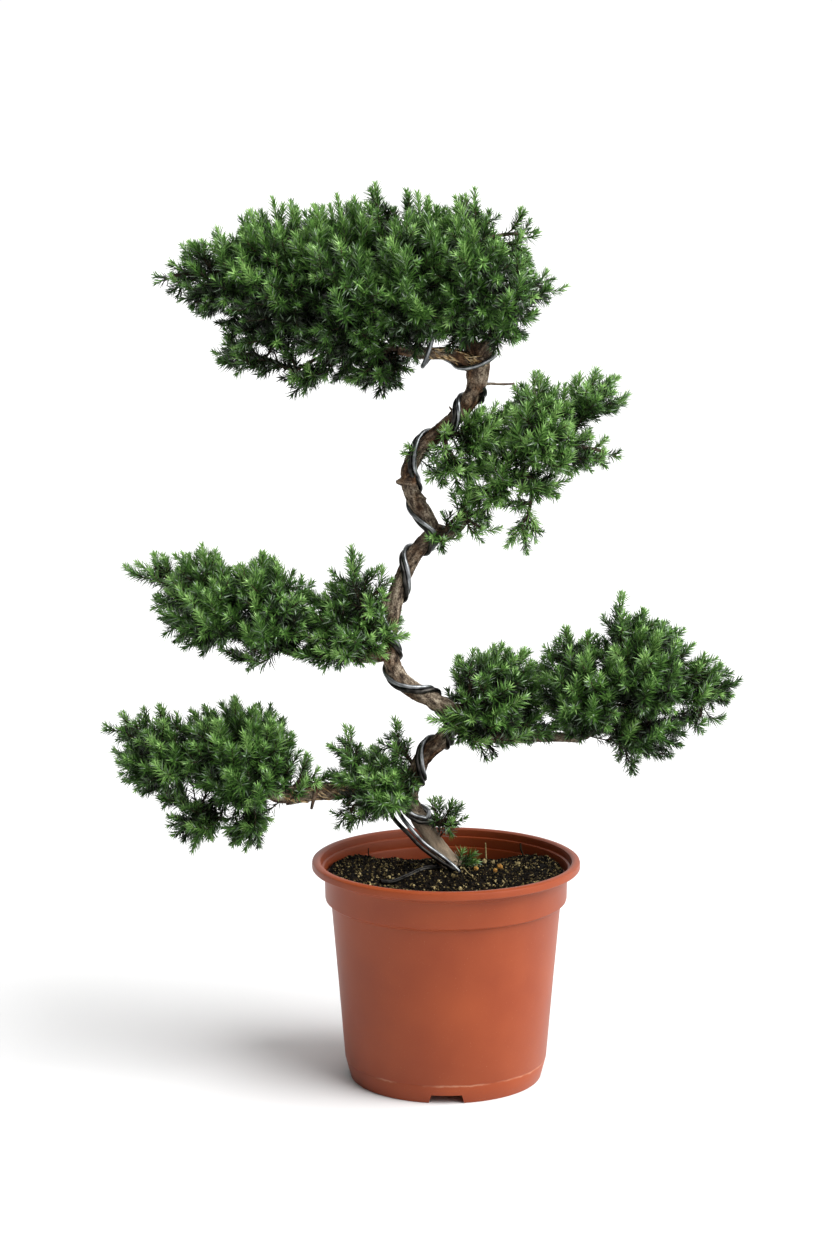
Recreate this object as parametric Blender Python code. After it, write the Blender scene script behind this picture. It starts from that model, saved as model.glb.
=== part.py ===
# A juniper bonsai with a bent, wired trunk, growing in a round nursery pot.
# Metres, +Z up. The origin is the centre of the pot's flat underside, and -Y is the front.
# Lengths are written in millimetres times MM.

import math
import random

import bmesh
import bpy
import numpy as np
from mathutils import Vector

MM = 0.001
GAP = 0.3 * MM  # left between two solids that touch on the real plant

# Pot: a 152 mm round pot, turned profile radii and heights
POT_HEIGHT = 126.5 * MM
RIM_R = 76 * MM
RIM_INNER_R = 71 * MM
LIP_DEPTH = 4.7 * MM
COLLAR_R = 68.6 * MM
COLLAR_BOTTOM = 103 * MM
COLLAR_ROUND = 1.5 * MM
SHOULDER_R = 65.1 * MM
FOOT_BAND = 10.5 * MM
FOOT_BAND_R = 57.1 * MM
FOOT_R = 54.3 * MM
WALL = 1.6 * MM
PAD_R = 42 * MM
CHANNEL_R = 51.5 * MM
CHANNEL_RISE = 6 * MM
POT_SEGMENTS = 40
NOTCH_TOP_WIDTH = 17 * MM
NOTCH_BOTTOM_WIDTH = 21 * MM
NOTCH_HEIGHT = 5 * MM
DRAIN_R = 3.5 * MM
DRAIN_COUNT = 4

# Compost: a low mound round the foot of the trunk
SOIL_EDGE = 108 * MM
SOIL_TOP = 117.5 * MM
SOIL_RINGS = 6
SOIL_SEGMENTS = 28
SOIL_ROUGHNESS = 1.1 * MM
SOIL_WALL_GAP = 0.5 * MM
SOIL_SHOULDER = 1.5 * MM
FOOT_FLAT_R = 16 * MM
MOUND_R = 46 * MM

# Trunk: the line through its bends (x, y, z in mm), from the soil to the fork
TRUNK_LINE = (
    (2.5, 16, 117.8), (-10, 15, 137), (-21, 12, 157), (-15, 6, 179), (1.6, 1, 196), (3.2, -2, 211),
    (-20, -4, 226), (-32, -4, 244), (-31, -1, 269), (-19, 3, 297), (-7.5, 6, 312), (-21, 6, 337),
    (-21, 4, 355), (2, 2, 377), (15.5, 0, 397), (17.7, 0, 411),
)
TRUNK_R = 6.2 * MM
TRUNK_TIP_R = 5.0 * MM
KNOT_R = 2.6 * MM  # swelling at the fork
KNOT_REACH = 12 * MM
ROOT_FLARE = 3.4 * MM
FLARE_REACH = 9 * MM
FLARE_LOBES = 3
FLARE_LOBE_DEPTH = 0.22
BARK_WAVES = ((0.25, 0.19, 0.0), (0.2, 0.43, 1.0))  # height (mm), pitch (radians a mm), phase
TRUNK_SIDES = 10
TRUNK_RING_STEP = 6 * MM

# Boughs: root on the trunk's line and on through bends (mm), radius at root and tip (mm)
BOUGHS = {
    "bough_lower_left": (((-19.5, 11, 163), (-38, 8, 164), (-57, 4, 165), (-74, 1, 165), (-91, -1, 163)), 4.2, 2.9),
    "bough_left": (((-32, -4, 246), (-46, -6, 243.5), (-62, -6, 244), (-86, -4, 244.5)), 4.0, 2.8),
    "bough_right": (((5, -2, 205), (19, -5, 199), (38, -4, 197.5), (58, -1, 197), (76, 1, 196)), 4.2, 2.9),
    "bough_upper_right": (((-8, 6, 313), (3, 4, 310), (15, 2, 316), (25, 1, 326), (33, 0, 336)), 3.8, 2.6),
    "bough_crown_left": (((16, 0, 406), (2, -1, 410), (-13, -3, 411.5), (-27, -4, 414)), 4.4, 3.4),
    "bough_crown_middle": (((17, 1, 410), (9, 6, 423), (-1, 9, 433), (-12, 10, 441)), 3.8, 2.8),
    "bough_crown_right": (((18, 0, 410), (25, 0, 421), (29, 0, 431)), 4.0, 3.0),
}
BOUGH_SIDES = 7
BOUGH_RING_STEP = 7 * MM

# Wires: two turns side by side round the trunk, and a short coil on the crown's left bough
WIRE_R = 1.4 * MM
WIRE_SIDES = 5
WIRE_STEPS_PER_TURN = 8
WIRE_CROSSINGS = (12, 32, 75, 102, 140, 173, 209, 236, 281, 316, 338)  # mm along the trunk, at the front
WIRE_PAIR_SHIFT = -7.0 * MM
WIRE_START_TURN = -0.22
WIRE_END_TURN = 9.9
# Where a wire stands off the trunk: (turn, reach in turns, distance in mm)
WIRE_SLACK = {
    "wire_bright": ((0.3, 0.28, 5.0),),
    "wire_dark": ((0.3, 0.28, 5.0), (3.25, 0.3, 2.6), (7.12, 0.3, 1.4)),
}
LEAST_SLACK = 0.4 * MM
CROWN_COIL = (14 * MM, 27 * MM, 1.5)  # start and end along the bough, turns
TAIL_LIFT = 1.2 * MM  # over the mound without its lumps
WIRE_TAIL = ((-12, 0), (-24, -6), (-34, -9), (-44, -10))  # x, y of a spare end that lies on the compost (mm)

# Foliage: each mass is a set of rounded lobes (x, y, z, half width, half depth, half height in mm)
# and grows from one stem: (where it starts, seed, sprays)
MASSES = {
    "foliage_crown_left": (
        ((-60, -2, 449, 38, 56, 50), (-95, 0, 447, 35, 46, 47), (-124, 0, 450, 32, 30, 29)),
        "bough_crown_left", 11, 22,
    ),
    "foliage_crown_top": (
        ((-22, 5, 455, 34, 60, 48),),
        "bough_crown_middle", 12, 12,
    ),
    "foliage_crown_right": (
        ((13, 0, 458, 31, 54, 44), (38, 0, 452, 27, 40, 36)),
        "bough_crown_right", 13, 16,
    ),
    "foliage_upper_right": (
        ((52, 0, 373, 23, 30, 29), (71, 0, 357, 21, 24, 15), (76, 2, 381, 21, 24, 18), (55, 0, 342, 18, 20, 14),
         (45, -4, 317, 10, 12, 17)),
        "bough_upper_right", 21, 14,
    ),
    "foliage_trunk_upper": (
        ((21, -3, 365, 15, 17, 25), (5, -9, 346, 14, 11, 14)),
        (-8, 3, 366), 31, 6,
    ),
    "foliage_elbow": (
        ((14, -4, 319, 17, 14, 13),),
        (-9, 6, 318), 32, 4,
    ),
    "foliage_left_outer": (
        ((-102, 0, 267, 30, 42, 27), (-135, 0, 274, 29, 42, 30), (-163, 0, 286, 17, 18, 13)),
        "bough_left", 41, 14,
    ),
    "foliage_left_inner": (
        ((-55, 8, 262, 31, 40, 23), (-54, 4, 288, 14, 18, 16)),
        (-32, -3, 259), 42, 8,
    ),
    "foliage_right_inner": (
        ((31, 6, 219, 31, 40, 30), (25, -12, 198, 18, 15, 13)),
        (3, -2, 214), 51, 9,
    ),
    "foliage_right_outer": (
        ((81, 0, 228, 31, 44, 32), (111, 0, 238, 29, 46, 31), (115, 2, 201, 28, 36, 22), (142, 0, 230, 21, 24, 17)),
        "bough_right", 52, 18,
    ),
    "foliage_lower_left_outer": (
        ((-119, 0, 186, 37, 48, 33), (-161, 0, 184, 29, 36, 31), (-136, -2, 149, 26, 26, 17)),
        "bough_lower_left", 61, 18,
    ),
    "foliage_lower_left_inner": (
        ((-43, 6, 170, 28, 38, 21), (-36, 4, 192, 13, 16, 13)),
        (-17, 8, 177), 62, 8,
    ),
    "foliage_trunk_foot": (
        ((4, 4, 146, 12, 12, 13),),
        (-20, 12.2, 154), 71, 4,
    ),
}
SPRAY_LENGTH = 34 * MM
SPRAY_R = 8.5 * MM
SPRAY_CORE_R = 1.9 * MM
NEEDLE_HEIGHTS = (0.5, 0.78, 0.64)  # shares of a shoot's leafy length
VALLEY_HEIGHTS = (0.2, 0.42, 0.3)
SPRAY_SPACING = 16 * MM
SPIKE_REACH = 46 * MM
SPIKE_LEAF = 0.7  # share of that reach past the joint of a side twig
LEAST_SHOOT = 12 * MM
FAR_TIP = 0.985
TIP_DEPTHS = (0.62, 0.99)
LOW_SKIPPED = 0.45  # share of the tips under a lobe that are left out
TRIES_PER_SPRAY = 60
SMALL_LOBE = 20 * MM  # a lobe under this half height takes shorter sprays
TWIG_R = 1.7 * MM
TWIG_TIP_R = 1.0 * MM
STALK_R = 0.8 * MM
TWIG_STEP = 12 * MM
STEM_FREE = 4 * MM  # bare length where the stem leaves its bough
STEM_REACH = 12 * MM  # length of stem that is tested for a free place on the trunk
STEM_BOW = 0.7  # how far a stem swings out along its first heading
SLANT = 0.35  # how far back along its twig a shoot leaves, as a share of its length
OWN_SPACE = 1.04
NEIGHBOUR_SHARE = 0.035
CORE_TUFT = (0.8, 0.95)  # shares of a lobe's half sizes that the core reaches
CORE_VALLEY = (0.48, 0.6)
LEAST_CORE = 0.14
CORE_PASSES = 30
CORE_DRAW_IN = 0.93
HUB_STEPS = ((0, 0, 0), (0, 0, 0.3), (0, 0.3, 0.2), (0, -0.3, 0.2), (0, 0, -0.3), (0, 0.5, 0), (0, -0.5, 0))
HUB_CLEARANCE = 5 * MM
LIMB_CLEARANCE = 1.4 * MM


def clear_scene():
    for obj in list(bpy.data.objects):
        bpy.data.objects.remove(obj, do_unlink=True)


def material(name, colour, roughness, metallic=0.0):
    made = bpy.data.materials.new(name)
    made.use_nodes = True
    shader = made.node_tree.nodes["Principled BSDF"]
    shader.inputs["Base Color"].default_value = (*colour, 1.0)
    shader.inputs["Roughness"].default_value = roughness
    shader.inputs["Metallic"].default_value = metallic
    return made


def add_object(name, bm, finish, smooth_deg=40):
    bmesh.ops.recalc_face_normals(bm, faces=bm.faces)
    mesh = bpy.data.meshes.new(name)
    bm.to_mesh(mesh)
    bm.free()
    mesh.shade_smooth()
    mesh.set_sharp_from_angle(angle=math.radians(smooth_deg))
    obj = bpy.data.objects.new(name, mesh)
    bpy.context.scene.collection.objects.link(obj)
    if finish:
        mesh.materials.append(finish)
    return obj


def as_cutter(obj):
    obj.hide_render = True
    obj.display_type = "WIRE"
    return obj


def cut(obj, cutter, name):
    boolean = obj.modifiers.new(name, "BOOLEAN")
    boolean.operation = "DIFFERENCE"
    boolean.object = cutter
    boolean.solver = "EXACT"


# Curves and tubes


def smooth_line(points, step):
    """Points at an even step along the Catmull-Rom curve through the given ones."""
    knots = [Vector(p) * MM for p in points]
    knots = [knots[0] * 2 - knots[1]] + knots + [knots[-1] * 2 - knots[-2]]
    fine = []
    for a, b, c, d in zip(knots, knots[1:], knots[2:], knots[3:]):
        for k in range(16):
            t = k / 16
            fine.append(
                0.5 * (2 * b + (c - a) * t + (2 * a - 5 * b + 4 * c - d) * t**2 + (3 * b - a - 3 * c + d) * t**3)
            )
    fine.append(knots[-2])
    fine = np.array(fine)
    along = np.concatenate([[0], np.cumsum(np.linalg.norm(np.diff(fine, axis=0), axis=1))])
    count = max(2, round(along[-1] / step) + 1)
    even = np.linspace(0, along[-1], count)
    return np.stack([np.interp(even, along, fine[:, i]) for i in range(3)], axis=1), even


def carried_frames(line):
    """A tangent and two side directions at each point, turned as little as possible on the way."""
    tangents = np.gradient(line, axis=0)
    tangents /= np.linalg.norm(tangents, axis=1)[:, None]
    side = np.cross(tangents[0], (0.0, -1.0, 0.0))
    if np.linalg.norm(side) < 0.1:
        side = np.cross(tangents[0], (1.0, 0.0, 0.0))
    frames = []
    for tangent in tangents:
        side = side - tangent * side.dot(tangent)
        side /= np.linalg.norm(side)
        frames.append((tangent, side, np.cross(tangent, side)))
    return frames


def tube(line, radius_at, sides):
    """A closed tube on the line. radius_at(i, angle) gives each point's distance from it."""
    bm = bmesh.new()
    rings = []
    for i, (point, (_, side, up)) in enumerate(zip(line, carried_frames(line))):
        ring = []
        for k in range(sides):
            angle = 2 * math.pi * k / sides
            out = math.cos(angle) * side + math.sin(angle) * up
            ring.append(bm.verts.new(point + out * radius_at(i, angle)))
        rings.append(ring)
    for low, high in zip(rings, rings[1:]):
        for k in range(sides):
            bm.faces.new((low[k], low[(k + 1) % sides], high[(k + 1) % sides], high[k]))
    bm.faces.new(rings[0][::-1])
    bm.faces.new(rings[-1])
    return bm


# Pot and compost


def pot_profile():
    """Radius and height of the turned wall, from the middle of the floor inside, over the rim, to the underside."""
    channel_top = CHANNEL_RISE + WALL
    inner_foot = FOOT_BAND_R - WALL
    collar_in = COLLAR_R - WALL
    lip_bottom = POT_HEIGHT - LIP_DEPTH
    return (
        (0, WALL),
        (PAD_R - WALL, WALL),
        (PAD_R, channel_top),
        (inner_foot - WALL, channel_top),
        (inner_foot, FOOT_BAND),
        (SHOULDER_R - WALL, COLLAR_BOTTOM - WALL),
        (collar_in, COLLAR_BOTTOM + COLLAR_ROUND),
        (collar_in, lip_bottom - WALL),
        (RIM_INNER_R, POT_HEIGHT - WALL),
        (RIM_INNER_R + WALL, POT_HEIGHT),
        (RIM_R - WALL / 2, POT_HEIGHT - WALL / 4),
        (RIM_R, POT_HEIGHT - WALL),
        (RIM_R, lip_bottom),
        (COLLAR_R, lip_bottom),
        (COLLAR_R, COLLAR_BOTTOM + COLLAR_ROUND),
        (COLLAR_R - COLLAR_ROUND, COLLAR_BOTTOM),
        (SHOULDER_R, COLLAR_BOTTOM - COLLAR_ROUND),
        (FOOT_BAND_R, FOOT_BAND),
        (FOOT_R, 0),
        (CHANNEL_R, 0),
        (CHANNEL_R, CHANNEL_RISE),
        (PAD_R + WALL, CHANNEL_RISE),
        (PAD_R, 0),
        (0, 0),
    )


def turned(profile, segments):
    """The profile spun once round Z and closed at the poles."""
    bm = bmesh.new()
    verts = [bm.verts.new((r, 0, z)) for r, z in profile]
    edges = [bm.edges.new(pair) for pair in zip(verts, verts[1:])]
    bmesh.ops.spin(
        bm, geom=verts + edges, cent=(0, 0, 0), axis=(0, 0, 1), angle=2 * math.pi, steps=segments, use_duplicate=False
    )
    bmesh.ops.remove_doubles(bm, verts=bm.verts, dist=0.01 * MM)
    return bm


def notch_cutters():
    """A trapezoid block through the foot at the front, back and sides, all in one mesh."""
    bm = bmesh.new()
    inside = CHANNEL_R - 2 * WALL
    outside = FOOT_R + 2 * WALL
    for quarter in range(4):
        turn = quarter * math.pi / 2
        corners = []
        for radius in (inside, outside):
            for half, z in (
                (-NOTCH_BOTTOM_WIDTH / 2, -WALL),
                (NOTCH_BOTTOM_WIDTH / 2, -WALL),
                (NOTCH_TOP_WIDTH / 2, NOTCH_HEIGHT),
                (-NOTCH_TOP_WIDTH / 2, NOTCH_HEIGHT),
            ):
                x = radius * math.cos(turn) - half * math.sin(turn)
                y = radius * math.sin(turn) + half * math.cos(turn)
                corners.append(bm.verts.new((x, y, z)))
        near, far = corners[:4], corners[4:]
        bm.faces.new(near)
        bm.faces.new(far[::-1])
        for k in range(4):
            bm.faces.new((near[k], far[k], far[(k + 1) % 4], near[(k + 1) % 4]))
    return as_cutter(add_object("notch_cutters", bm, None))


def drain_cutters():
    bm = bmesh.new()
    mid_r = (PAD_R + CHANNEL_R) / 2
    for k in range(DRAIN_COUNT):
        angle = math.pi / 4 + 2 * math.pi * k / DRAIN_COUNT
        made = bmesh.ops.create_cone(
            bm, cap_ends=True, segments=8, radius1=DRAIN_R, radius2=DRAIN_R, depth=4 * WALL
        )
        centre = (mid_r * math.cos(angle), mid_r * math.sin(angle), CHANNEL_RISE + WALL / 2)
        bmesh.ops.translate(bm, verts=made["verts"], vec=centre)
    return as_cutter(add_object("drain_cutters", bm, None))


def make_pot():
    finish = material("terracotta_polypropylene", (0.36, 0.13, 0.065), 0.5)
    pot = add_object("pot", turned(pot_profile(), POT_SEGMENTS), finish)
    cut(pot, notch_cutters(), "notches")
    cut(pot, drain_cutters(), "drain holes")


def soil_height(x, y, rng_waves):
    """Height of the compost: a mound with lumps, flat under the trunk."""
    foot_x, foot_y = TRUNK_LINE[0][0] * MM, TRUNK_LINE[0][1] * MM
    away = math.hypot(x - foot_x, y - foot_y)
    fall = min(1.0, max(0.0, (away - FOOT_FLAT_R) / (MOUND_R - FOOT_FLAT_R)))
    fall = fall * fall * (3 - 2 * fall)
    lumps = sum(math.sin(a * x / MM + b * y / MM + c) for a, b, c in rng_waves) / max(1, len(rng_waves))
    return SOIL_TOP - (SOIL_TOP - SOIL_EDGE) * fall + SOIL_ROUGHNESS * 2 * lumps * min(1.0, fall * 4)


def make_soil():
    """Fills the pot a gap clear of its wall, with a lumpy top."""
    rng = random.Random(5)
    waves = [(rng.uniform(-0.35, 0.35), rng.uniform(-0.35, 0.35), rng.uniform(0, 6)) for _ in range(6)]
    inner = [(r, z) for r, z in pot_profile()[:8] if z < SOIL_EDGE]
    wall_at_top = COLLAR_R - WALL
    side = [(max(0.0, r - SOIL_WALL_GAP), z + GAP) for r, z in inner]
    side.append((wall_at_top - SOIL_WALL_GAP, SOIL_EDGE - SOIL_SHOULDER))
    bm = turned(side, SOIL_SEGMENTS)
    open_edges = [e for e in bm.edges if e.is_boundary]
    edge_ring = sorted({v for e in open_edges for v in e.verts}, key=lambda v: math.atan2(v.co.y, v.co.x))
    outer = edge_ring
    for ring_index in range(1, SOIL_RINGS):
        share = 1 - ring_index / SOIL_RINGS
        ring = []
        for vert in edge_ring:
            x, y = vert.co.x * share, vert.co.y * share
            ring.append(bm.verts.new((x, y, soil_height(x, y, waves))))
        for k in range(SOIL_SEGMENTS):
            n = (k + 1) % SOIL_SEGMENTS
            bm.faces.new((outer[k], outer[n], ring[n], ring[k]))
        outer = ring
    centre = bm.verts.new((0, 0, soil_height(0, 0, waves)))
    for k in range(SOIL_SEGMENTS):
        bm.faces.new((outer[k], outer[(k + 1) % SOIL_SEGMENTS], centre))
    add_object("compost", bm, material("damp_compost", (0.02, 0.016, 0.01), 0.95))


# Limbs


class Limb:
    """A tapering limb: the line of its middle, and its radius at each point of that."""

    def __init__(self, line, radii):
        self.line = np.asarray(line)
        self.radii = np.asarray(radii)

    def clearance(self, points):
        """How far each point lies outside this limb's bark."""
        points = np.atleast_2d(points)
        a, b = self.line[:-1], self.line[1:]
        span = b - a
        t = ((points[:, None] - a) * span).sum(2) / (span * span).sum(1)
        t = np.clip(t, 0, 1)
        nearest = a + t[..., None] * span
        radii = self.radii[:-1] + t * (self.radii[1:] - self.radii[:-1])
        return (np.linalg.norm(points[:, None] - nearest, axis=2) - radii).min(1)


def trunk_radius(along, length):
    taper = TRUNK_R + (TRUNK_TIP_R - TRUNK_R) * along / length
    flare = ROOT_FLARE * math.exp(-along / FLARE_REACH)
    knot = KNOT_R * math.exp(-(((length - along) / KNOT_REACH) ** 2))
    ripple = sum(height * math.sin(along / MM * pitch + phase) for height, pitch, phase in BARK_WAVES) * MM
    return taper + flare + knot + ripple


def trunk_tube(extra):
    """The trunk, or a copy that is wider by extra, cut flat at the compost."""
    line, along = smooth_line(TRUNK_LINE, TRUNK_RING_STEP)
    below = 2 * line[0] - line[1]
    whole = np.vstack([below, line])

    def radius_at(i, angle):
        s = along[max(0, i - 1)]
        lobes = 1 + FLARE_LOBE_DEPTH * math.cos(FLARE_LOBES * angle) * math.exp(-s / FLARE_REACH)
        return trunk_radius(s, along[-1]) * lobes + extra

    bm = tube(whole, radius_at, TRUNK_SIDES)
    floor = TRUNK_LINE[0][2] * MM - extra
    geometry = list(bm.verts) + list(bm.edges) + list(bm.faces)
    bmesh.ops.bisect_plane(bm, geom=geometry, plane_co=(0, 0, floor), plane_no=(0, 0, -1), clear_outer=True)
    bmesh.ops.holes_fill(bm, edges=[e for e in bm.edges if e.is_boundary])
    return bm


def make_trunk(bark):
    line, along = smooth_line(TRUNK_LINE, TRUNK_RING_STEP)
    add_object("trunk", trunk_tube(0), bark)
    clear = as_cutter(add_object("trunk_clearance", trunk_tube(GAP), None))
    return Limb(line, [trunk_radius(s, along[-1]) for s in along]), clear


def make_boughs(bark, trunk_clear):
    """Each bough starts inside the trunk and is cut back to its bark, clear of the boughs before it."""
    limbs = {}
    clearances = [trunk_clear]
    for name, (points, root_r, tip_r) in BOUGHS.items():
        line, along = smooth_line(points, BOUGH_RING_STEP)
        radii = [(root_r + (tip_r - root_r) * s / along[-1]) * MM for s in along]
        bough = add_object(name, tube(line, lambda i, angle: radii[i], BOUGH_SIDES), bark)
        for n, cutter in enumerate(clearances):
            cut(bough, cutter, f"clear of limb {n}")
        limbs[name] = Limb(line, radii)
        if "crown" in name:
            wide = tube(line, lambda i, angle: radii[i] + GAP, BOUGH_SIDES)
            clearances.append(as_cutter(add_object(name + "_clearance", wide, None)))
    return limbs


def coil_line(limb, turns_at, start_turn, end_turn, shift, stand_off):
    """A left-hand coil round a limb. turns_at gives the distance along the limb at each whole turn."""
    along = np.concatenate([[0], np.cumsum(np.linalg.norm(np.diff(limb.line, axis=0), axis=1))])
    frames = carried_frames(limb.line)
    steps = round((end_turn - start_turn) * WIRE_STEPS_PER_TURN)
    points = []
    for turn in np.linspace(start_turn, end_turn, steps + 1):
        low = min(len(turns_at) - 2, max(0, math.floor(turn)))
        s = (turns_at[low] + (turns_at[low + 1] - turns_at[low]) * (turn - low)) * MM + shift
        s = min(along[-1], max(0.0, s))
        middle = np.array([np.interp(s, along, limb.line[:, i]) for i in range(3)])
        tangent = np.array([np.interp(s, along, [f[0][i] for f in frames]) for i in range(3)])
        tangent /= np.linalg.norm(tangent)
        front = np.array((0.0, -1.0, 0.0))
        front -= tangent * front.dot(tangent)
        front /= np.linalg.norm(front)
        left = np.cross(front, tangent)
        angle = 2 * math.pi * turn
        out = math.cos(angle) * front + math.sin(angle) * left
        radius = np.interp(s, along, limb.radii) + WIRE_R / math.cos(math.pi / WIRE_SIDES) + GAP + stand_off(turn)
        point = middle + out * radius
        point[2] = max(point[2], SOIL_TOP + WIRE_R + GAP)
        points.append(point)
    return np.array(points)


def make_wires(trunk, limbs):
    silver = material("aluminium_wire", (0.55, 0.56, 0.57), 0.35, 1.0)
    dark = material("darkened_aluminium_wire", (0.12, 0.11, 0.10), 0.45, 1.0)

    lines = {}
    for name, shift, finish in (("wire_bright", 0.0, silver), ("wire_dark", WIRE_PAIR_SHIFT, dark)):

        def slack(turn):
            bulges = (out * math.exp(-(((turn - at) / reach) ** 2)) for at, reach, out in WIRE_SLACK[name])
            return LEAST_SLACK + sum(bulges) * MM

        lines[name] = coil_line(trunk, WIRE_CROSSINGS, WIRE_START_TURN, WIRE_END_TURN, shift, slack)
        add_object(name, tube(lines[name], lambda i, angle: WIRE_R, WIRE_SIDES), finish)
    start, end, turns = CROWN_COIL
    spacing = (end - start) / turns
    marks = [(start + spacing * k) / MM for k in range(math.ceil(turns) + 1)]
    bough = limbs["bough_crown_left"]
    lines["wire_crown"] = coil_line(bough, marks, 0.0, turns, 0.0, lambda turn: LEAST_SLACK)
    add_object("wire_crown", tube(lines["wire_crown"], lambda i, angle: WIRE_R, WIRE_SIDES), silver)
    tail = [(x, y, (soil_height(x * MM, y * MM, ()) + WIRE_R + TAIL_LIFT) / MM) for x, y in WIRE_TAIL]
    lines["wire_tail"], _ = smooth_line(tail, 8 * MM)
    add_object("wire_tail", tube(lines["wire_tail"], lambda i, angle: WIRE_R, WIRE_SIDES), dark)
    return [Limb(line, np.full(len(line), WIRE_R)) for line in lines.values()]


# Foliage


def lobe_arrays(name):
    lobes = np.array(MASSES[name][0], float) * MM
    return lobes[:, :3], lobes[:, 3:]


SPACES = {name: lobe_arrays(name) for name in MASSES}


def reach_share(name, points):
    """0 at the middle of a mass's nearest lobe, 1 at its surface."""
    centres, halves = SPACES[name]
    points = np.atleast_2d(points)
    return np.linalg.norm((points[:, None] - centres) / halves, axis=2).min(1)


def in_own_space(name, points):
    own = reach_share(name, points)
    others = np.min([reach_share(other, points) for other in MASSES if other != name], axis=0)
    return (own <= OWN_SPACE) & (own + NEIGHBOUR_SHARE < others)


def clear_of_limbs(limbs, points, by):
    return np.all([limb.clearance(points) > by for limb in limbs], axis=0)


def spray_points(start, tip, length, radius, roll):
    """The corners of a shoot: a three-sided root, three needles that stand out along its core, and its tip."""
    axis = tip - start
    total = np.linalg.norm(axis)
    axis = axis / total
    side = np.cross(axis, (0.31, 0.22, 0.93))
    side /= np.linalg.norm(side)
    up = np.cross(axis, side)
    first = max(total - length * 0.75, 3 * MM)

    def corner(share, away, sixth):
        angle = roll + sixth * math.pi / 3
        at = first + (total - first) * share
        return start + axis * at + (math.cos(angle) * side + math.sin(angle) * up) * away

    whole = -first / (total - first)
    root = [corner(whole, STALK_R, 2 * k + 0.5) for k in range(3)]
    ring = []
    for k in range(3):
        ring.append(corner(NEEDLE_HEIGHTS[k], radius, 2 * k))
        ring.append(corner(VALLEY_HEIGHTS[k], SPRAY_CORE_R, 2 * k + 1))
    return root, ring, tip


def spray_mesh(root, ring, tip):
    bm = bmesh.new()
    root = [bm.verts.new(p) for p in root]
    ring = [bm.verts.new(p) for p in ring]
    point = bm.verts.new(tip)
    bm.faces.new(root)
    for k in range(3):
        needle, valley, next_needle = ring[2 * k], ring[2 * k + 1], ring[(2 * k + 2) % 6]
        bm.faces.new((root[k], needle, valley))
        bm.faces.new((root[k], valley, root[(k + 1) % 3]))
        bm.faces.new((root[(k + 1) % 3], valley, next_needle))
    for k in range(6):
        bm.faces.new((ring[k], ring[(k + 1) % 6], point))
    return bm


def skin_of(root, ring, tip):
    """Points spread over a shoot's faces and edges."""
    foot = sum(root) / 3
    middles = [(corner + ring[(n + 1) % 6]) / 2 for n, corner in enumerate(ring)]
    corners = np.array(list(ring) + middles)
    rows = [corners + (end - corners) * share for end in (tip, foot) for share in (0.2, 0.4, 0.6, 0.8)]
    return np.vstack([[tip], corners, *rows])


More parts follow.
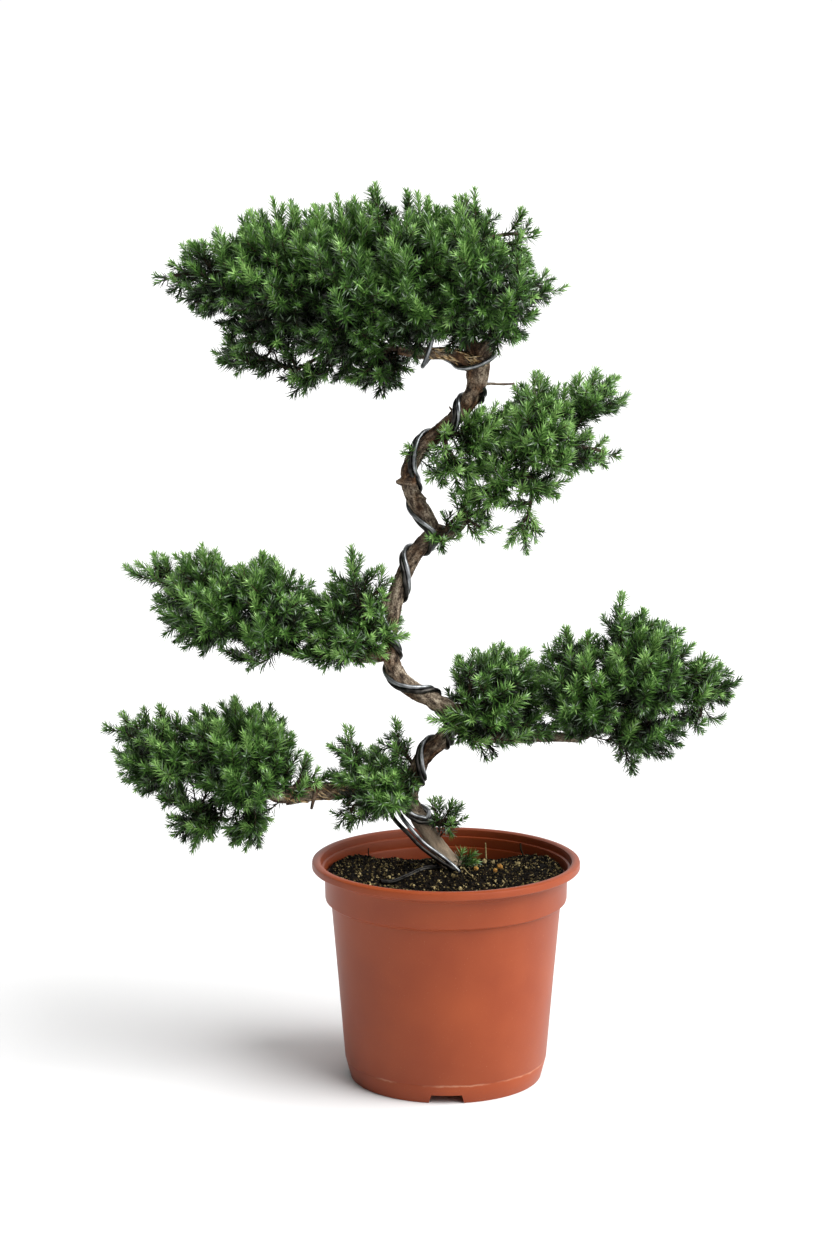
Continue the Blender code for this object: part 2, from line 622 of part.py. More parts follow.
class Growth:
    """One mass: twigs that branch from its stem towards tips spread over its lobes, each with a spray."""

    def __init__(self, name, limbs, trunk):
        self.name = name
        self.centres, self.halves = SPACES[name]
        _, start, seed, self.sprays = MASSES[name]
        self.rng = random.Random(seed)
        self.limbs = limbs
        self.collection = bpy.data.collections.new(name + "_parts")
        bpy.context.scene.collection.children.link(self.collection)
        self.twigs = []
        if isinstance(start, str):
            line = limbs[start].line
            self.heading = (line[-1] - line[-2]) / np.linalg.norm(line[-1] - line[-2])
            self.root = line[-1] + self.heading * GAP
        else:
            self.root, self.heading = self.free_place(trunk, np.array(start) * MM)

    def free_place(self, trunk, wanted):
        """The place nearest the wanted one where a stem can leave the trunk's bark between the wires."""
        others = [limb for limb in self.limbs.values() if limb is not trunk]
        by_distance = sorted(trunk.line, key=lambda point: np.linalg.norm(point - wanted))
        for origin in by_distance:
            heading = self.hub(0) - origin
            heading /= np.linalg.norm(heading)
            side = np.cross(heading, (0.0, 0.0, 1.0))
            side /= np.linalg.norm(side)
            angles = np.linspace(0, 2 * math.pi, 12, endpoint=False)[:, None]
            ring = (np.cos(angles) * side + np.sin(angles) * np.cross(heading, side)) * TWIG_R
            reaches = np.linspace(0, STEM_REACH, 121)
            outside = [trunk.clearance(origin + heading * reach + ring).min() > GAP for reach in reaches]
            root = origin + heading * reaches[np.argmax(outside)]
            stem = root + heading * np.linspace(0, STEM_REACH, 7)[:, None]
            leaves_bark = any(outside) and trunk.clearance(stem[3:]).min() > 2 * TWIG_R
            if leaves_bark and clear_of_limbs(others, stem, TWIG_R + LIMB_CLEARANCE).all():
                return root, heading
        raise RuntimeError(f"{self.name}: no free place on the trunk near {wanted}")

    def hub(self, index):
        """Where a lobe's twigs gather: its middle, or the nearest place above or beside it that is clear of limbs."""
        centre, half = self.centres[index], self.halves[index]
        for step in HUB_STEPS:
            spot = centre + half * np.array(step)
            if clear_of_limbs(self.limbs.values(), spot, HUB_CLEARANCE).all():
                return spot
        return centre

    def pushed(self, point):
        """The point moved off any limb that it touches."""
        for _ in range(12):
            for limb in self.limbs.values():
                gap = limb.clearance(point)[0] - TWIG_R - LIMB_CLEARANCE
                if gap < 0:
                    near = limb.line[np.argmin(np.linalg.norm(limb.line - point, axis=1))]
                    away = point - near
                    point = point + away / np.linalg.norm(away) * (0.4 * MM - gap)
        return point

    def add_part(self, bm):
        obj = add_object(self.name + "_part", bm, None)
        bpy.context.scene.collection.objects.unlink(obj)
        self.collection.objects.link(obj)

    def twig(self, start, goal, root_r, tip_r, heading=None):
        """A three-sided twig from start to goal that sets off along heading."""
        length = np.linalg.norm(goal - start)
        count = max(2, round(length / TWIG_STEP) + 1)
        line = []
        for t in np.linspace(0, 1, count):
            point = start + (goal - start) * t
            if heading is not None:
                point = point + heading * length * STEM_BOW * t * (1 - t) ** 2
            if 0 < t and count > 2:
                point = self.pushed(point)
            line.append(point)
        if heading is not None:
            line.insert(1, start + heading * 2 * root_r)
        line = np.array(line)
        radii = np.linspace(root_r, tip_r, len(line))
        free = line[1:] if heading is None else line[2:]
        between = [free[:-1] + (free[1:] - free[:-1]) * share for share in (0.25, 0.5, 0.75)]
        if not clear_of_limbs(self.limbs.values(), np.vstack([free, *between]), root_r + GAP).all():
            return False
        self.add_part(tube(line, lambda i, angle: radii[i], 3))
        self.twigs.extend(zip(line, line[1:]))
        return True

    def branching_point(self, goal):
        """The place on the twigs from which a shoot to goal leaves at a slant, and its distance."""
        starts = np.array([a for a, _ in self.twigs])
        spans = np.array([b for _, b in self.twigs]) - starts
        lengths = np.linalg.norm(spans, axis=1)
        share = ((goal - starts) * spans).sum(1) / lengths**2
        nearest = starts + np.clip(share, 0, 1)[:, None] * spans
        gaps = np.linalg.norm(nearest - goal, axis=1)
        best = int(np.argmin(gaps))
        least = STEM_FREE / lengths[0] if best == 0 else 0.06
        slanted = np.clip(share[best] - SLANT * gaps[best] / lengths[best], least, 0.97)
        point = starts[best] + slanted * spans[best]
        return point, float(np.linalg.norm(goal - point))

    def tips(self):
        """Ends of sprays: the far points of every lobe first, then points spread over the lobes' shells."""
        for centre, half in zip(self.centres, self.halves):
            for direction in ((-1, 0, 0), (1, 0, 0), (0, 0, 1), (0, -1, 0), (0, 1, 0), (0, 0, -1)):
                yield centre + half * np.array(direction) * FAR_TIP
        weights = [float(np.prod(half)) ** 0.7 for half in self.halves]
        for _ in range(self.sprays * TRIES_PER_SPRAY):
            pick = self.rng.choices(range(len(weights)), weights)[0]
            direction = np.array([self.rng.gauss(0, 1) for _ in range(3)])
            direction /= np.linalg.norm(direction)
            if direction[2] < -0.2 and self.rng.random() < LOW_SKIPPED:
                continue
            depth = self.rng.uniform(*TIP_DEPTHS)
            yield self.centres[pick] + self.halves[pick] * direction * depth

    def grow(self):
        for share in (1.0, 0.7, 0.45, 0.3):
            goal = self.root + (self.hub(0) - self.root) * share
            if self.twig(self.root, goal, TWIG_R, TWIG_R * 0.85, self.heading):
                break
        else:
            raise RuntimeError(f"{self.name}: its stem is not clear of the limbs at {self.root / MM}")
        for index in range(1, len(self.centres)):
            node, _ = self.branching_point(self.hub(index))
            self.twig(node, self.hub(index), TWIG_R * 0.9, TWIG_TIP_R)
        made = []
        for tip in self.tips():
            if len(made) >= self.sprays:
                break
            if made and min(np.linalg.norm(tip - other) for other in made) < SPRAY_SPACING:
                continue
            if self.spray(tip):
                made.append(tip)
        self.cores()
        return len(made)

    def spray(self, tip):
        node, gap = self.branching_point(tip)
        if gap < LEAST_SHOOT:
            return False
        if gap > SPIKE_REACH:
            toward = (tip - node) / gap
            joint = node + toward * (gap - SPIKE_REACH * SPIKE_LEAF)
            if not in_own_space(self.name, joint)[0] or not self.twig(node, joint, TWIG_TIP_R * 1.2, TWIG_TIP_R):
                return False
            node = joint
            gap = np.linalg.norm(tip - node)
        small = min(1.0, self.halves[:, 2].max() / (SMALL_LOBE * 1.4))
        radius = SPRAY_R * small * self.rng.uniform(0.85, 1.1)
        length = min(SPRAY_LENGTH, gap * 0.95)
        root, ring, point = spray_points(node, tip, length, radius, self.rng.uniform(0, 2))
        skin = skin_of(root, ring, point)
        if not self.fit(skin).all():
            return False
        self.add_part(spray_mesh(root, ring, point))
        return True

    def cores(self):
        """A small dense tuft round the middle of each lobe, drawn in where a limb or a neighbour's space is near."""
        for index, half in enumerate(self.halves):
            bm = bmesh.new()
            bmesh.ops.create_icosphere(bm, subdivisions=2, radius=1.0)
            rays = np.array([vert.co for vert in bm.verts]) * half
            corners = np.array([[vert.index for vert in face.verts] for face in bm.faces])
            # The corners where five edges meet stand out as tufts, and the rest lie low between them.
            shares = np.array(
                [self.rng.uniform(*(CORE_TUFT if len(vert.link_edges) == 5 else CORE_VALLEY)) for vert in bm.verts]
            )
            for _ in range(CORE_PASSES):
                points = self.hub(index) + rays * shares[:, None]
                outside = ~self.fit(points)
                faces = points[corners]
                spots = [faces.mean(axis=1), *((faces[:, k] + faces[:, (k + 1) % 3]) / 2 for k in range(3))]
                for face, good in zip(corners, np.all([self.fit(spot) for spot in spots], axis=0)):
                    if not good and not outside[face].any():
                        outside[face[np.argmax(shares[face])]] = True
                if not outside.any():
                    break
                shares[outside] = np.maximum(shares[outside] * CORE_DRAW_IN, LEAST_CORE)
            else:
                print(self.name, "lobe", index, "has no room for a core")
                bm.free()
                continue
            for vert, point in zip(bm.verts, points):
                vert.co = point
            self.add_part(bm)

    def fit(self, points):
        """Which points lie in this mass's own space and clear of every limb."""
        return in_own_space(self.name, points) & clear_of_limbs(self.limbs.values(), points, LIMB_CLEARANCE)


def largest_body(mesh):
    """Keeps only the biggest connected shell, which fills sealed hollows and drops loose scraps."""
    bm = bmesh.new()
    bm.from_mesh(mesh)
    bmesh.ops.triangulate(bm, faces=bm.faces)
    left = set(bm.verts)
    shells = []
    while left:
        shell = {left.pop()}
        edge = list(shell)
        while edge:
            for link in edge.pop().link_edges:
                for vert in link.verts:
                    if vert in left:
                        left.remove(vert)
                        shell.add(vert)
                        edge.append(vert)
        shells.append(shell)
    keep = max(shells, key=len)
    bmesh.ops.delete(bm, geom=[v for v in bm.verts if v not in keep], context="VERTS")
    bm.to_mesh(mesh)
    bm.free()


def fuse(growth, finish):
    """One union of all the parts of a mass, applied."""
    parts = list(growth.collection.objects)
    first = parts[0]
    growth.collection.objects.unlink(first)
    bpy.context.scene.collection.objects.link(first)
    union = first.modifiers.new("one solid", "BOOLEAN")
    union.operation = "UNION"
    union.operand_type = "COLLECTION"
    union.collection = growth.collection
    union.solver = "MANIFOLD"
    bpy.context.view_layer.update()
    fused = bpy.data.meshes.new_from_object(first.evaluated_get(bpy.context.evaluated_depsgraph_get()))
    for part in parts:
        bpy.data.objects.remove(part, do_unlink=True)
    bpy.data.collections.remove(growth.collection)
    largest_body(fused)
    fused.materials.clear()
    fused.materials.append(finish)
    fused.name = growth.name
    obj = bpy.data.objects.new(growth.name, fused)
    bpy.context.scene.collection.objects.link(obj)
    return len(fused.polygons)


def make_foliage(limbs, trunk):
    finish = material("juniper_needles", (0.09, 0.17, 0.05), 0.6)
    for name in MASSES:
        growth = Growth(name, limbs, trunk)
        made = growth.grow()
        print(name, made, "sprays,", fuse(growth, finish), "triangles")


def main():
    clear_scene()
    make_pot()
    make_soil()
    bark = material("juniper_bark", (0.16, 0.12, 0.085), 0.85)
    trunk, trunk_clear = make_trunk(bark)
    boughs = make_boughs(bark, trunk_clear)
    wires = make_wires(trunk, boughs)
    limbs = {"trunk": trunk, **boughs}
    for n, wire in enumerate(wires):
        limbs[f"wire {n}"] = wire
    make_foliage(limbs, trunk)


main()
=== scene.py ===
import math

import bpy
import numpy as np
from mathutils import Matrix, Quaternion, Vector, noise


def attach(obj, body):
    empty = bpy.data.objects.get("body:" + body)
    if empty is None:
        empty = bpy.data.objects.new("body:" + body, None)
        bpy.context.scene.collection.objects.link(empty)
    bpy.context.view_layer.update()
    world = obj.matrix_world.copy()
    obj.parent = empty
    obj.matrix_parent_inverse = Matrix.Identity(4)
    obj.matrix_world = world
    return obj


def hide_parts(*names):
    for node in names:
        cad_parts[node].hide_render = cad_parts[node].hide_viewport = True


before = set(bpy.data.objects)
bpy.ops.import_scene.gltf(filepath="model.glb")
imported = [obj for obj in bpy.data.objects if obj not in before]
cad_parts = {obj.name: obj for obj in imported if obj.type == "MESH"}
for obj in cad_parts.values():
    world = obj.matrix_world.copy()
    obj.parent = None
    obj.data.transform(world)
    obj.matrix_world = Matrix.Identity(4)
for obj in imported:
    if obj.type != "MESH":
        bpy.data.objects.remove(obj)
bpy.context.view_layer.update()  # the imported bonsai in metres: +Z up, -Y is the front, the pot's underside at 0
mm = 0.001
bpy.context.scene.view_settings.view_transform = "Standard"


# Small helpers

def makeActive(piece):
    bpy.ops.object.select_all(action="DESELECT")
    piece.select_set(True)
    bpy.context.view_layer.objects.active = piece


def hexToLinear(code):
    channels = [int(code[i:i + 2], 16) / 255 for i in (1, 3, 5)]
    linear = [c / 12.92 if c <= 0.04045 else ((c + 0.055) / 1.055) ** 2.4 for c in channels]
    return (*linear, 1.0)


def addNode(tree, kind, output, *given, **settings):  # inputs in order or by "in_" name, values or outputs
    node = tree.nodes.new("ShaderNode" + kind)
    inputs = dict(enumerate(given))
    for key, value in settings.items():
        if key.startswith("in_"):
            inputs[key[3:].replace("_", " ")] = value
        else:
            setattr(node, key, value)
    for key, value in inputs.items():
        if isinstance(value, bpy.types.NodeSocket):
            tree.links.new(value, node.inputs[key])
        else:
            node.inputs[key].default_value = value
    return node.outputs[output]


def addNoise(tree, place, size, detail, rough=0.5):  # with patches of this size in mm
    return addNode(tree, "TexNoise", 0, place, in_Scale=1 / (size * mm), in_Detail=detail, in_Roughness=rough)


def addRange(tree, value, fromMin, fromMax, toMin=0, toMax=1):
    return addNode(tree, "MapRange", 0, value, fromMin, fromMax, toMin, toMax)


def addMath(tree, operation, *given):
    return addNode(tree, "Math", 0, *given, operation=operation)


def addMix(tree, share, a, b, blend="MIX"):
    return addNode(tree, "Mix", "Result", data_type="RGBA", blend_type=blend, in_Factor=share, in_A=a, in_B=b)


def addRamp(tree, value, stops):
    colour = addNode(tree, "ValToRGB", 0, value)
    elements = colour.node.color_ramp.elements
    while len(elements) < len(stops):
        elements.new(0.5)
    for element, (place, code) in zip(elements, stops):
        element.position = place
        element.color = hexToLinear(code)
    return colour


def startMaterial(name, rough, gloss=0.5, **values):
    made = bpy.data.materials.new(name)
    made.use_nodes = True
    tree = made.node_tree
    for key, value in {"Roughness": rough, "Specular_IOR_Level": gloss, **values}.items():
        tree.nodes["Principled BSDF"].inputs[key.replace("_", " ")].default_value = value
    return made, tree, addNode(tree, "TexCoord", "Object")


def dress(tree, colour, height, strength, depth):  # the last colour and, in mm, the fine relief
    shader = tree.nodes["Principled BSDF"]
    tree.links.new(colour, shader.inputs["Base Color"])
    if strength:
        bump = addNode(tree, "Bump", 0, in_Height=height, in_Strength=strength, in_Distance=depth * mm)
        tree.links.new(bump, shader.inputs["Normal"])


def mottledMaterial(name, rough, gloss, size, detail, stops, bump=(0, 0), **values):
    made, tree, place = startMaterial(name, rough, gloss, **values)  # one noise gives its colour and relief
    mottle = addNoise(tree, place, size, detail)
    dress(tree, addRamp(tree, mottle, stops), mottle, *bump)
    return made


def addObject(name, data):
    piece = bpy.data.objects.new(name, data)
    bpy.context.scene.collection.objects.link(piece)
    return piece


def meshFromArrays(name, points, faces, material, smooth=False):
    mesh = bpy.data.meshes.new(name)
    mesh.vertices.add(len(points))
    mesh.vertices.foreach_set("co", np.float32(points).ravel())
    mesh.loops.add(faces.size)
    mesh.loops.foreach_set("vertex_index", np.int32(faces).ravel())
    mesh.polygons.add(len(faces))
    mesh.polygons.foreach_set("loop_start", np.arange(0, faces.size, 3, dtype=np.int32))
    mesh.polygons.foreach_set("use_smooth", np.full(len(faces), smooth))
    mesh.update(calc_edges=True)
    mesh.materials.append(material)
    return addObject(name, mesh)


def settle(piece, slot, *nodes):
    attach(piece, "root")
    if nodes:
        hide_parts(*nodes)


def lengthOf(vectors):
    return np.linalg.norm(vectors, axis=-1)


def unit(vectors):
    return vectors / np.maximum(lengthOf(vectors)[..., None], 1e-12)


def between(angle, a, b):  # the direction at an angle from a toward b
    return np.cos(angle)[..., None] * a + np.sin(angle)[..., None] * b


# Curves and tubes

def lengthAlong(line):
    return np.concatenate([[0], np.cumsum(lengthOf(np.diff(line, axis=0)))])


def rowAt(s, along, rows):
    return np.stack([np.interp(s, along, column) for column in rows.T], axis=-1)


def smoothLine(points, step):
    knots = [Vector(p) * mm for p in points]
    knots = [knots[0] * 2 - knots[1]] + knots + [knots[-1] * 2 - knots[-2]]
    fine = []
    for a, b, c, d in zip(knots, knots[1:], knots[2:], knots[3:]):
        second, third = 2 * a - 5 * b + 4 * c - d, 3 * b - a - 3 * c + d
        for k in range(16):
            t = k / 16
            fine.append(0.5 * (2 * b + (c - a) * t + second * t**2 + third * t**3))
    fine.append(knots[-2])
    fine = np.array(fine)
    along = lengthAlong(fine)
    even = np.linspace(0, along[-1], max(2, round(along[-1] / (step * mm)) + 1))
    return rowAt(even, along, fine), even


def sideFrames(line):  # tangent and two directions square to it, turned as little as possible on the way
    tangents = unit(np.gradient(line, axis=0))
    side = np.cross(tangents[0], (0.0, -1.0, 0.0))
    sides = []
    for tangent in tangents:
        side = unit(side - tangent * side.dot(tangent))
        sides.append(side)
    sides = np.array(sides)
    return tangents, sides, np.cross(tangents, sides)


def anglesRound(around):
    return np.linspace(0, math.tau, around, endpoint=False)


def repeatFaces(faces, count, points):  # the same faces for each of many copies, which have this many points
    return (faces + (np.arange(count) * points)[:, None, None]).reshape(-1, 3)


def tubeFaces(rings, around):  # triangles of a closed tube, with a fan over each end
    ring = np.arange(around)
    after = (ring + 1) % around
    lower, upper = (ring, after, after + around), (ring, after + around, ring + around)
    wall = repeatFaces(np.vstack([np.stack(lower, axis=1), np.stack(upper, axis=1)]), rings - 1, around)
    fan = np.arange(1, around - 1)
    foot, head = np.stack([fan * 0, fan + 1, fan], axis=1), np.stack([fan * 0, fan, fan + 1], axis=1)
    return np.vstack([wall, foot, head + (rings - 1) * around])


def manyTubes(paths, radii, around):  # paths (tubes, rings, 3) and radii (tubes, rings), as one set of arrays
    paths = np.asarray(paths)
    tangents = unit(np.gradient(paths, axis=1))
    across = unit(np.cross(unit(paths[:, -1] - paths[:, 0]), (0.31, 0.22, 0.93)))
    side = unit(np.cross(tangents, across[:, None]))
    ring = between(anglesRound(around), side[:, :, None], np.cross(tangents, side)[:, :, None])
    points = paths[:, :, None] + ring * np.asarray(radii)[:, :, None, None]
    faces = tubeFaces(paths.shape[1], around)
    return points.reshape(-1, 3), repeatFaces(faces, len(paths), paths.shape[1] * around)


# Limbs: the same bends as the solids, in mm

trunk = {
    "line": (
        (2.5, 16, 117.8), (-9.5, 15, 137), (-20, 12, 157), (-15.8, 6, 178), (-10.4, 4, 187), (-2.5, 1, 195.5),
        (3.4, -1, 204), (1.8, -2, 212.5), (-6, -3, 218), (-18.5, -4, 224.6), (-27.6, -4, 234),
        (-31.6, -3.5, 247), (-30.4, -1, 268), (-25.8, 1, 284), (-20, 4, 297), (-14.4, 5, 304.6),
        (-8, 6, 312.5), (-11.8, 6, 322), (-17.8, 6, 331), (-21.2, 6, 342), (-19.6, 5, 351.5), (-12.6, 4, 361),
        (-3, 3, 369.5), (5.6, 2, 377.5), (13.4, 0.5, 388), (16.6, 0, 398), (17.9, 0, 411),
    ),
    "radius": 4.9,
    "tipRadius": 4.4,
    "knot": 2.2,  # swelling at the fork
    "knotReach": 19,
    "flare": 1.5,  # root flare
    "flareReach": 8,
    "lobes": 3,
    "lobeDepth": 0.18,
    "intoCompost": 7,
    "ridge": 0.65,  # height of the long ridges in the bark
    "plate": 0.6,  # depth of the cracks between its flakes
    "grain": 0.2,
    "lumps": ((46, 2.4, 1.0), (96, 0.9, 1.0), (128, 3.6, 1.3), (300, 2.2, 1.1), (322, 4.9, 1.2),
              (334, 3.9, 1.7), (341, 5.4, 1.9), (346, 2.6, 1.5)),  # old wounds: mm along, angle, height
}
spurs = (  # the lowest bough's thin end, pruned stubs and dead twigs: x, y, z and radius in mm
    ((-84, -0.4, 163.7, 4.6), (-92, -1, 163.4, 5.2), (-102, -1, 167, 3.9), (-112, 0, 176, 2.6),
     (-119, 0, 187, 1.6)),
    ((-17, 5, 342, 6.2), (-22, 5, 341.4, 5.2), (-25.6, 5, 340.8, 3), (-28.2, 5, 340.6, 0.8)),
    ((-16.4, 5, 333, 3.2), (-13.6, 5, 331.6, 2.1), (-11.4, 5, 330.6, 1)),
    ((6, 2, 377, 1.3), (4, 1, 380, 0.9), (1.2, 0, 383.2, 0.25)),
    ((14, 2, 395, 1.3), (24, 2, 395.6, 0.8), (31, 3.4, 395.1, 0.65), (37.5, 4, 395.4, 0.5)),
    ((-30, 0, 270, 2.8), (-34.5, -2, 273, 1.6), (-36.4, -2.4, 276.5, 0.5)),
    ((-71, -1, 169, 1.3), (-72.5, -5.6, 168, 1.4), (-74.6, -6.4, 162, 1.1), (-76, -6, 156.6, 0.8)),
    ((-50, 2, 163, 1.5), (-53, -3, 160.6, 1), (-58, -4.6, 158.6, 0.4)),
    ((-88, -3, 161, 1), (-84, -6, 166, 0.9), (-78, -7, 169, 0.7), (-70, -7.4, 172, 0.4)),
)
boughs = {
    "bough_lower_left": (
        ((-18.5, 11, 163), (-38, 8, 164), (-57, 4, 165), (-74, 1, 165), (-91, -1, 163)), 4.0, 5.4),
    "bough_left": (((-32.5, -3.5, 246.5), (-46, -5, 243.6), (-62, -3, 244.6), (-86, -2, 245)), 3.7, 2.6),
    "bough_right": (((5, -2, 205), (19, -5, 199), (38, -4, 197.5), (58, -1, 197), (76, 1, 196)), 3.9, 2.7),
    "bough_upper_right": (
        ((-8, 6, 313), (0, 4.6, 312), (7.5, 2, 317), (13, 0, 328), (22, -1, 337), (33, 0, 341)), 3.4, 2.4),
    "bough_crown_left": (((16, 0, 406), (2, -1, 412), (-13, -3, 413), (-27, -4, 415)), 3.9, 3.1),
    "bough_crown_middle": (((17, 1, 410), (9, 6, 423), (-1, 9, 433), (-12, 10, 441)), 3.8, 2.8),
    "bough_crown_right": (((18, 0, 410), (25, 0, 421), (29, 0, 431)), 4.0, 3.0),
}
boughCollar = {"height": 1.5, "reach": 7}  # the swelling where a bough leaves the trunk


def trunkRadius(s, length):  # all in mm
    taper = trunk["radius"] + (trunk["tipRadius"] - trunk["radius"]) * s / length
    flare = trunk["flare"] * np.exp(-s / trunk["flareReach"])
    knot = trunk["knot"] * np.exp(-(((length - s) / trunk["knotReach"]) ** 2))
    return taper + flare + knot


def makeBarkMaterial():
    # juniper bark: thin grey flakes over red-brown inner bark, matt, speckled, with dark cracks along the limb
    made, tree, place = startMaterial("juniper_bark", 0.88, 0.22)
    uv = addNode(tree, "UVMap", 0, uv_map="barkMap")  # metres round and along the limb
    fibres = addNoise(tree, addNode(tree, "Mapping", 0, uv, in_Scale=(1, 0.42, 1)), 2.6, 6, 0.62)
    specks = addNoise(tree, uv, 0.9, 3, 0.7)
    patches = addRange(tree, addNoise(tree, place, 17, 4, 0.6), 0.42, 0.58)
    greys = addRamp(tree, fibres, ((0.36, "#2a211a"), (0.46, "#6c5f52"), (0.57, "#a19482"), (0.7, "#d2c6b2")))
    browns = addRamp(tree, fibres, ((0.36, "#150d08"), (0.48, "#46301f"), (0.66, "#84644a")))
    pits = addRamp(tree, specks, ((0.36, "#6a6058"), (0.5, "#e8e6e2"), (0.68, "#ffffff")))
    speckled = addMix(tree, 1.0, addMix(tree, patches, greys, browns), pits, "MULTIPLY")
    height = addNode(tree, "SeparateXYZ", "Z", place)
    low = addRange(tree, height, 152 * mm, 138 * mm, 0, 0.5)  # painted light: the bark is painted paler toward the foot, where it would otherwise render in shade
    paled = addMix(tree, low, speckled, hexToLinear("#cbb79e"))
    dress(tree, paled, addMath(tree, "ADD", fibres, specks), 0.75, 0.5)
    return made


def barkRelief(angle, s, seed, strength):  # mm of relief at an angle and a distance along the limb
    round1, round2 = math.cos(angle), math.sin(angle)
    ridge = noise.noise(Vector((round1 * 1.7 + seed, round2 * 1.7, s * 0.06)))
    ridge += 0.5 * noise.noise(Vector((round1 * 3.6, round2 * 3.6 + seed, s * 0.14)))
    near = noise.voronoi(Vector((round1 * 2.1 + seed, round2 * 2.1, s * 0.16)))[0]
    crack = 1 - min(1.0, (near[1] - near[0]) / 0.22)
    fleck = noise.noise(Vector((round1 * 9, round2 * 9, s * 0.8 + seed)))
    return strength * (trunk["ridge"] * ridge - trunk["plate"] * crack * crack + trunk["grain"] * fleck)


def makeLimb(name, line, along, radiusAt, seed, strength, around, material):
    _, sides, ups = sideFrames(line)
    angles = anglesRound(around)
    rings = []
    for i, s in enumerate(along / mm):
        radii = np.array([radiusAt(s, a) + barkRelief(a, s, seed, strength) for a in angles]) * mm
        rings.append(line[i] + between(angles, sides[i], ups[i]) * radii[:, None])
    faces = tubeFaces(len(line), around)
    piece = meshFromArrays(name, np.concatenate(rings), faces, material, smooth=True)
    ring, spoke = np.divmod(faces, around)
    seam = (np.ptp(spoke, axis=1) > around / 2)[:, None] & (spoke == 0)  # goes on round
    mapped = np.stack([(spoke / around + seam) * math.tau * trunk["radius"] * mm, along[ring]], axis=-1)
    layer = piece.data.uv_layers.new(name="barkMap")
    layer.data.foreach_set("uv", np.float32(mapped).ravel())
    return piece


def makeTrunk(material):
    first, second = np.array(trunk["line"][:2])
    foot = first + (first - second) / 20 * trunk["intoCompost"]
    line, along = smoothLine((tuple(foot), *trunk["line"]), 1.2)
    length = along[-1] / mm
    start = trunk["intoCompost"]

    def radiusAt(s, angle):
        up = max(0.0, s - start)
        lobes = trunk["lobeDepth"] * math.cos(trunk["lobes"] * angle) * math.exp(-up / trunk["flareReach"])
        return trunkRadius(up, length - start) * (1 + lobes) + sum(
            height * math.exp(-((s - at) / 2.6) ** 2 - (math.remainder(angle - turn, math.tau) / 0.42) ** 2)
            for at, turn, height in trunk["lumps"])

    piece = makeLimb("trunk_bark", line, along, radiusAt, 3.1, 1.0, 40, material)
    settle(piece, "bark", "trunk")
    return line[6:], trunkRadius(along[6:] / mm, length) * mm


def makeBoughs(material):
    limbs = []
    for n, (name, (points, root, tip)) in enumerate(boughs.items()):
        line, along = smoothLine(points, 1.3)
        length = along[-1] / mm

        def radiusAt(s, angle):
            collar = boughCollar["height"] * math.exp(-(max(0.0, s - 4) / boughCollar["reach"]) ** 2)
            return root + (tip - root) * s / length + collar

        settle(makeLimb(name + "_bark", line, along, radiusAt, 7.7 + n, 0.62, 24, material), "bark", name)
        limbs.append((line, (root + (tip - root) * along / along[-1]) * mm))
    return limbs


def makeSpurs(material):
    for n, rows in enumerate(spurs):
        line, along = smoothLine([row[:3] for row in rows], 0.8)
        places = np.linspace(0, along[-1] / mm, len(rows))

        def radiusAt(s, angle):
            return np.interp(s, places, [row[3] for row in rows])

        settle(makeLimb(f"spur_{n + 1}_bark", line, along, radiusAt, 20.3 + n, 0.45, 14, material), "bark")


splinters = {  # torn pale wood where the crown's boughs part, and on the lowest bough: x and z in mm, how many
    "at": {"bough_crown_left_bark": (-10, 17, 406, 418, 30), "trunk_bark": (4, 20, 405, 416, 16),
           "bough_lower_left_bark": (-98, -58, 156, 174, 34)},
    "length": (4, 9), "radius": 0.42, "lean": (0.9, 0, -0.42),
}


def makeSplinters():
    # split juniper wood: dry straw-coloured fibres, matt, browner where they are torn off deeper
    made = mottledMaterial("split_juniper_wood", 0.75, 0.3, 2, 3,
                           ((0.36, "#7a5b39"), (0.5, "#b79a6c"), (0.66, "#dcc9a2")))
    rng = np.random.default_rng(17)
    paths = []
    for name, (left, right, low, high, count) in splinters["at"].items():
        verts = [v for v in bpy.data.objects[name].data.vertices
                 if left < v.co.x / mm < right and low < v.co.z / mm < high and v.normal.y < -0.35]
        for pick in rng.choice(len(verts), count):
            at, normal = np.array(verts[pick].co), np.array(verts[pick].normal)
            way = np.array(splinters["lean"]) + rng.normal(0, 0.2, 3)
            way = unit(way - normal * way.dot(normal) + normal * rng.uniform(0, 0.25))
            long = rng.uniform(*splinters["length"]) * mm
            paths.append([at + normal * 0.1 * mm + way * long * t for t in (-0.5, 0, 0.5)])
    thick = np.tile(np.array((0.3, 1, 0.2)) * splinters["radius"] * mm, (len(paths), 1))
    piece = meshFromArrays("torn_wood", *manyTubes(np.array(paths), thick, 4), made)
    settle(piece, "bark")


bark = makeBarkMaterial()
trunkLine, trunkRadii = makeTrunk(bark)
boughLimbs = makeBoughs(bark)
makeSpurs(bark)
makeSplinters()
boughTips = dict(zip(boughs, boughLimbs))
print("trunk and boughs are made")


# Wires: two that wind up the trunk side by side, and a third round the fork and the crown's left bough

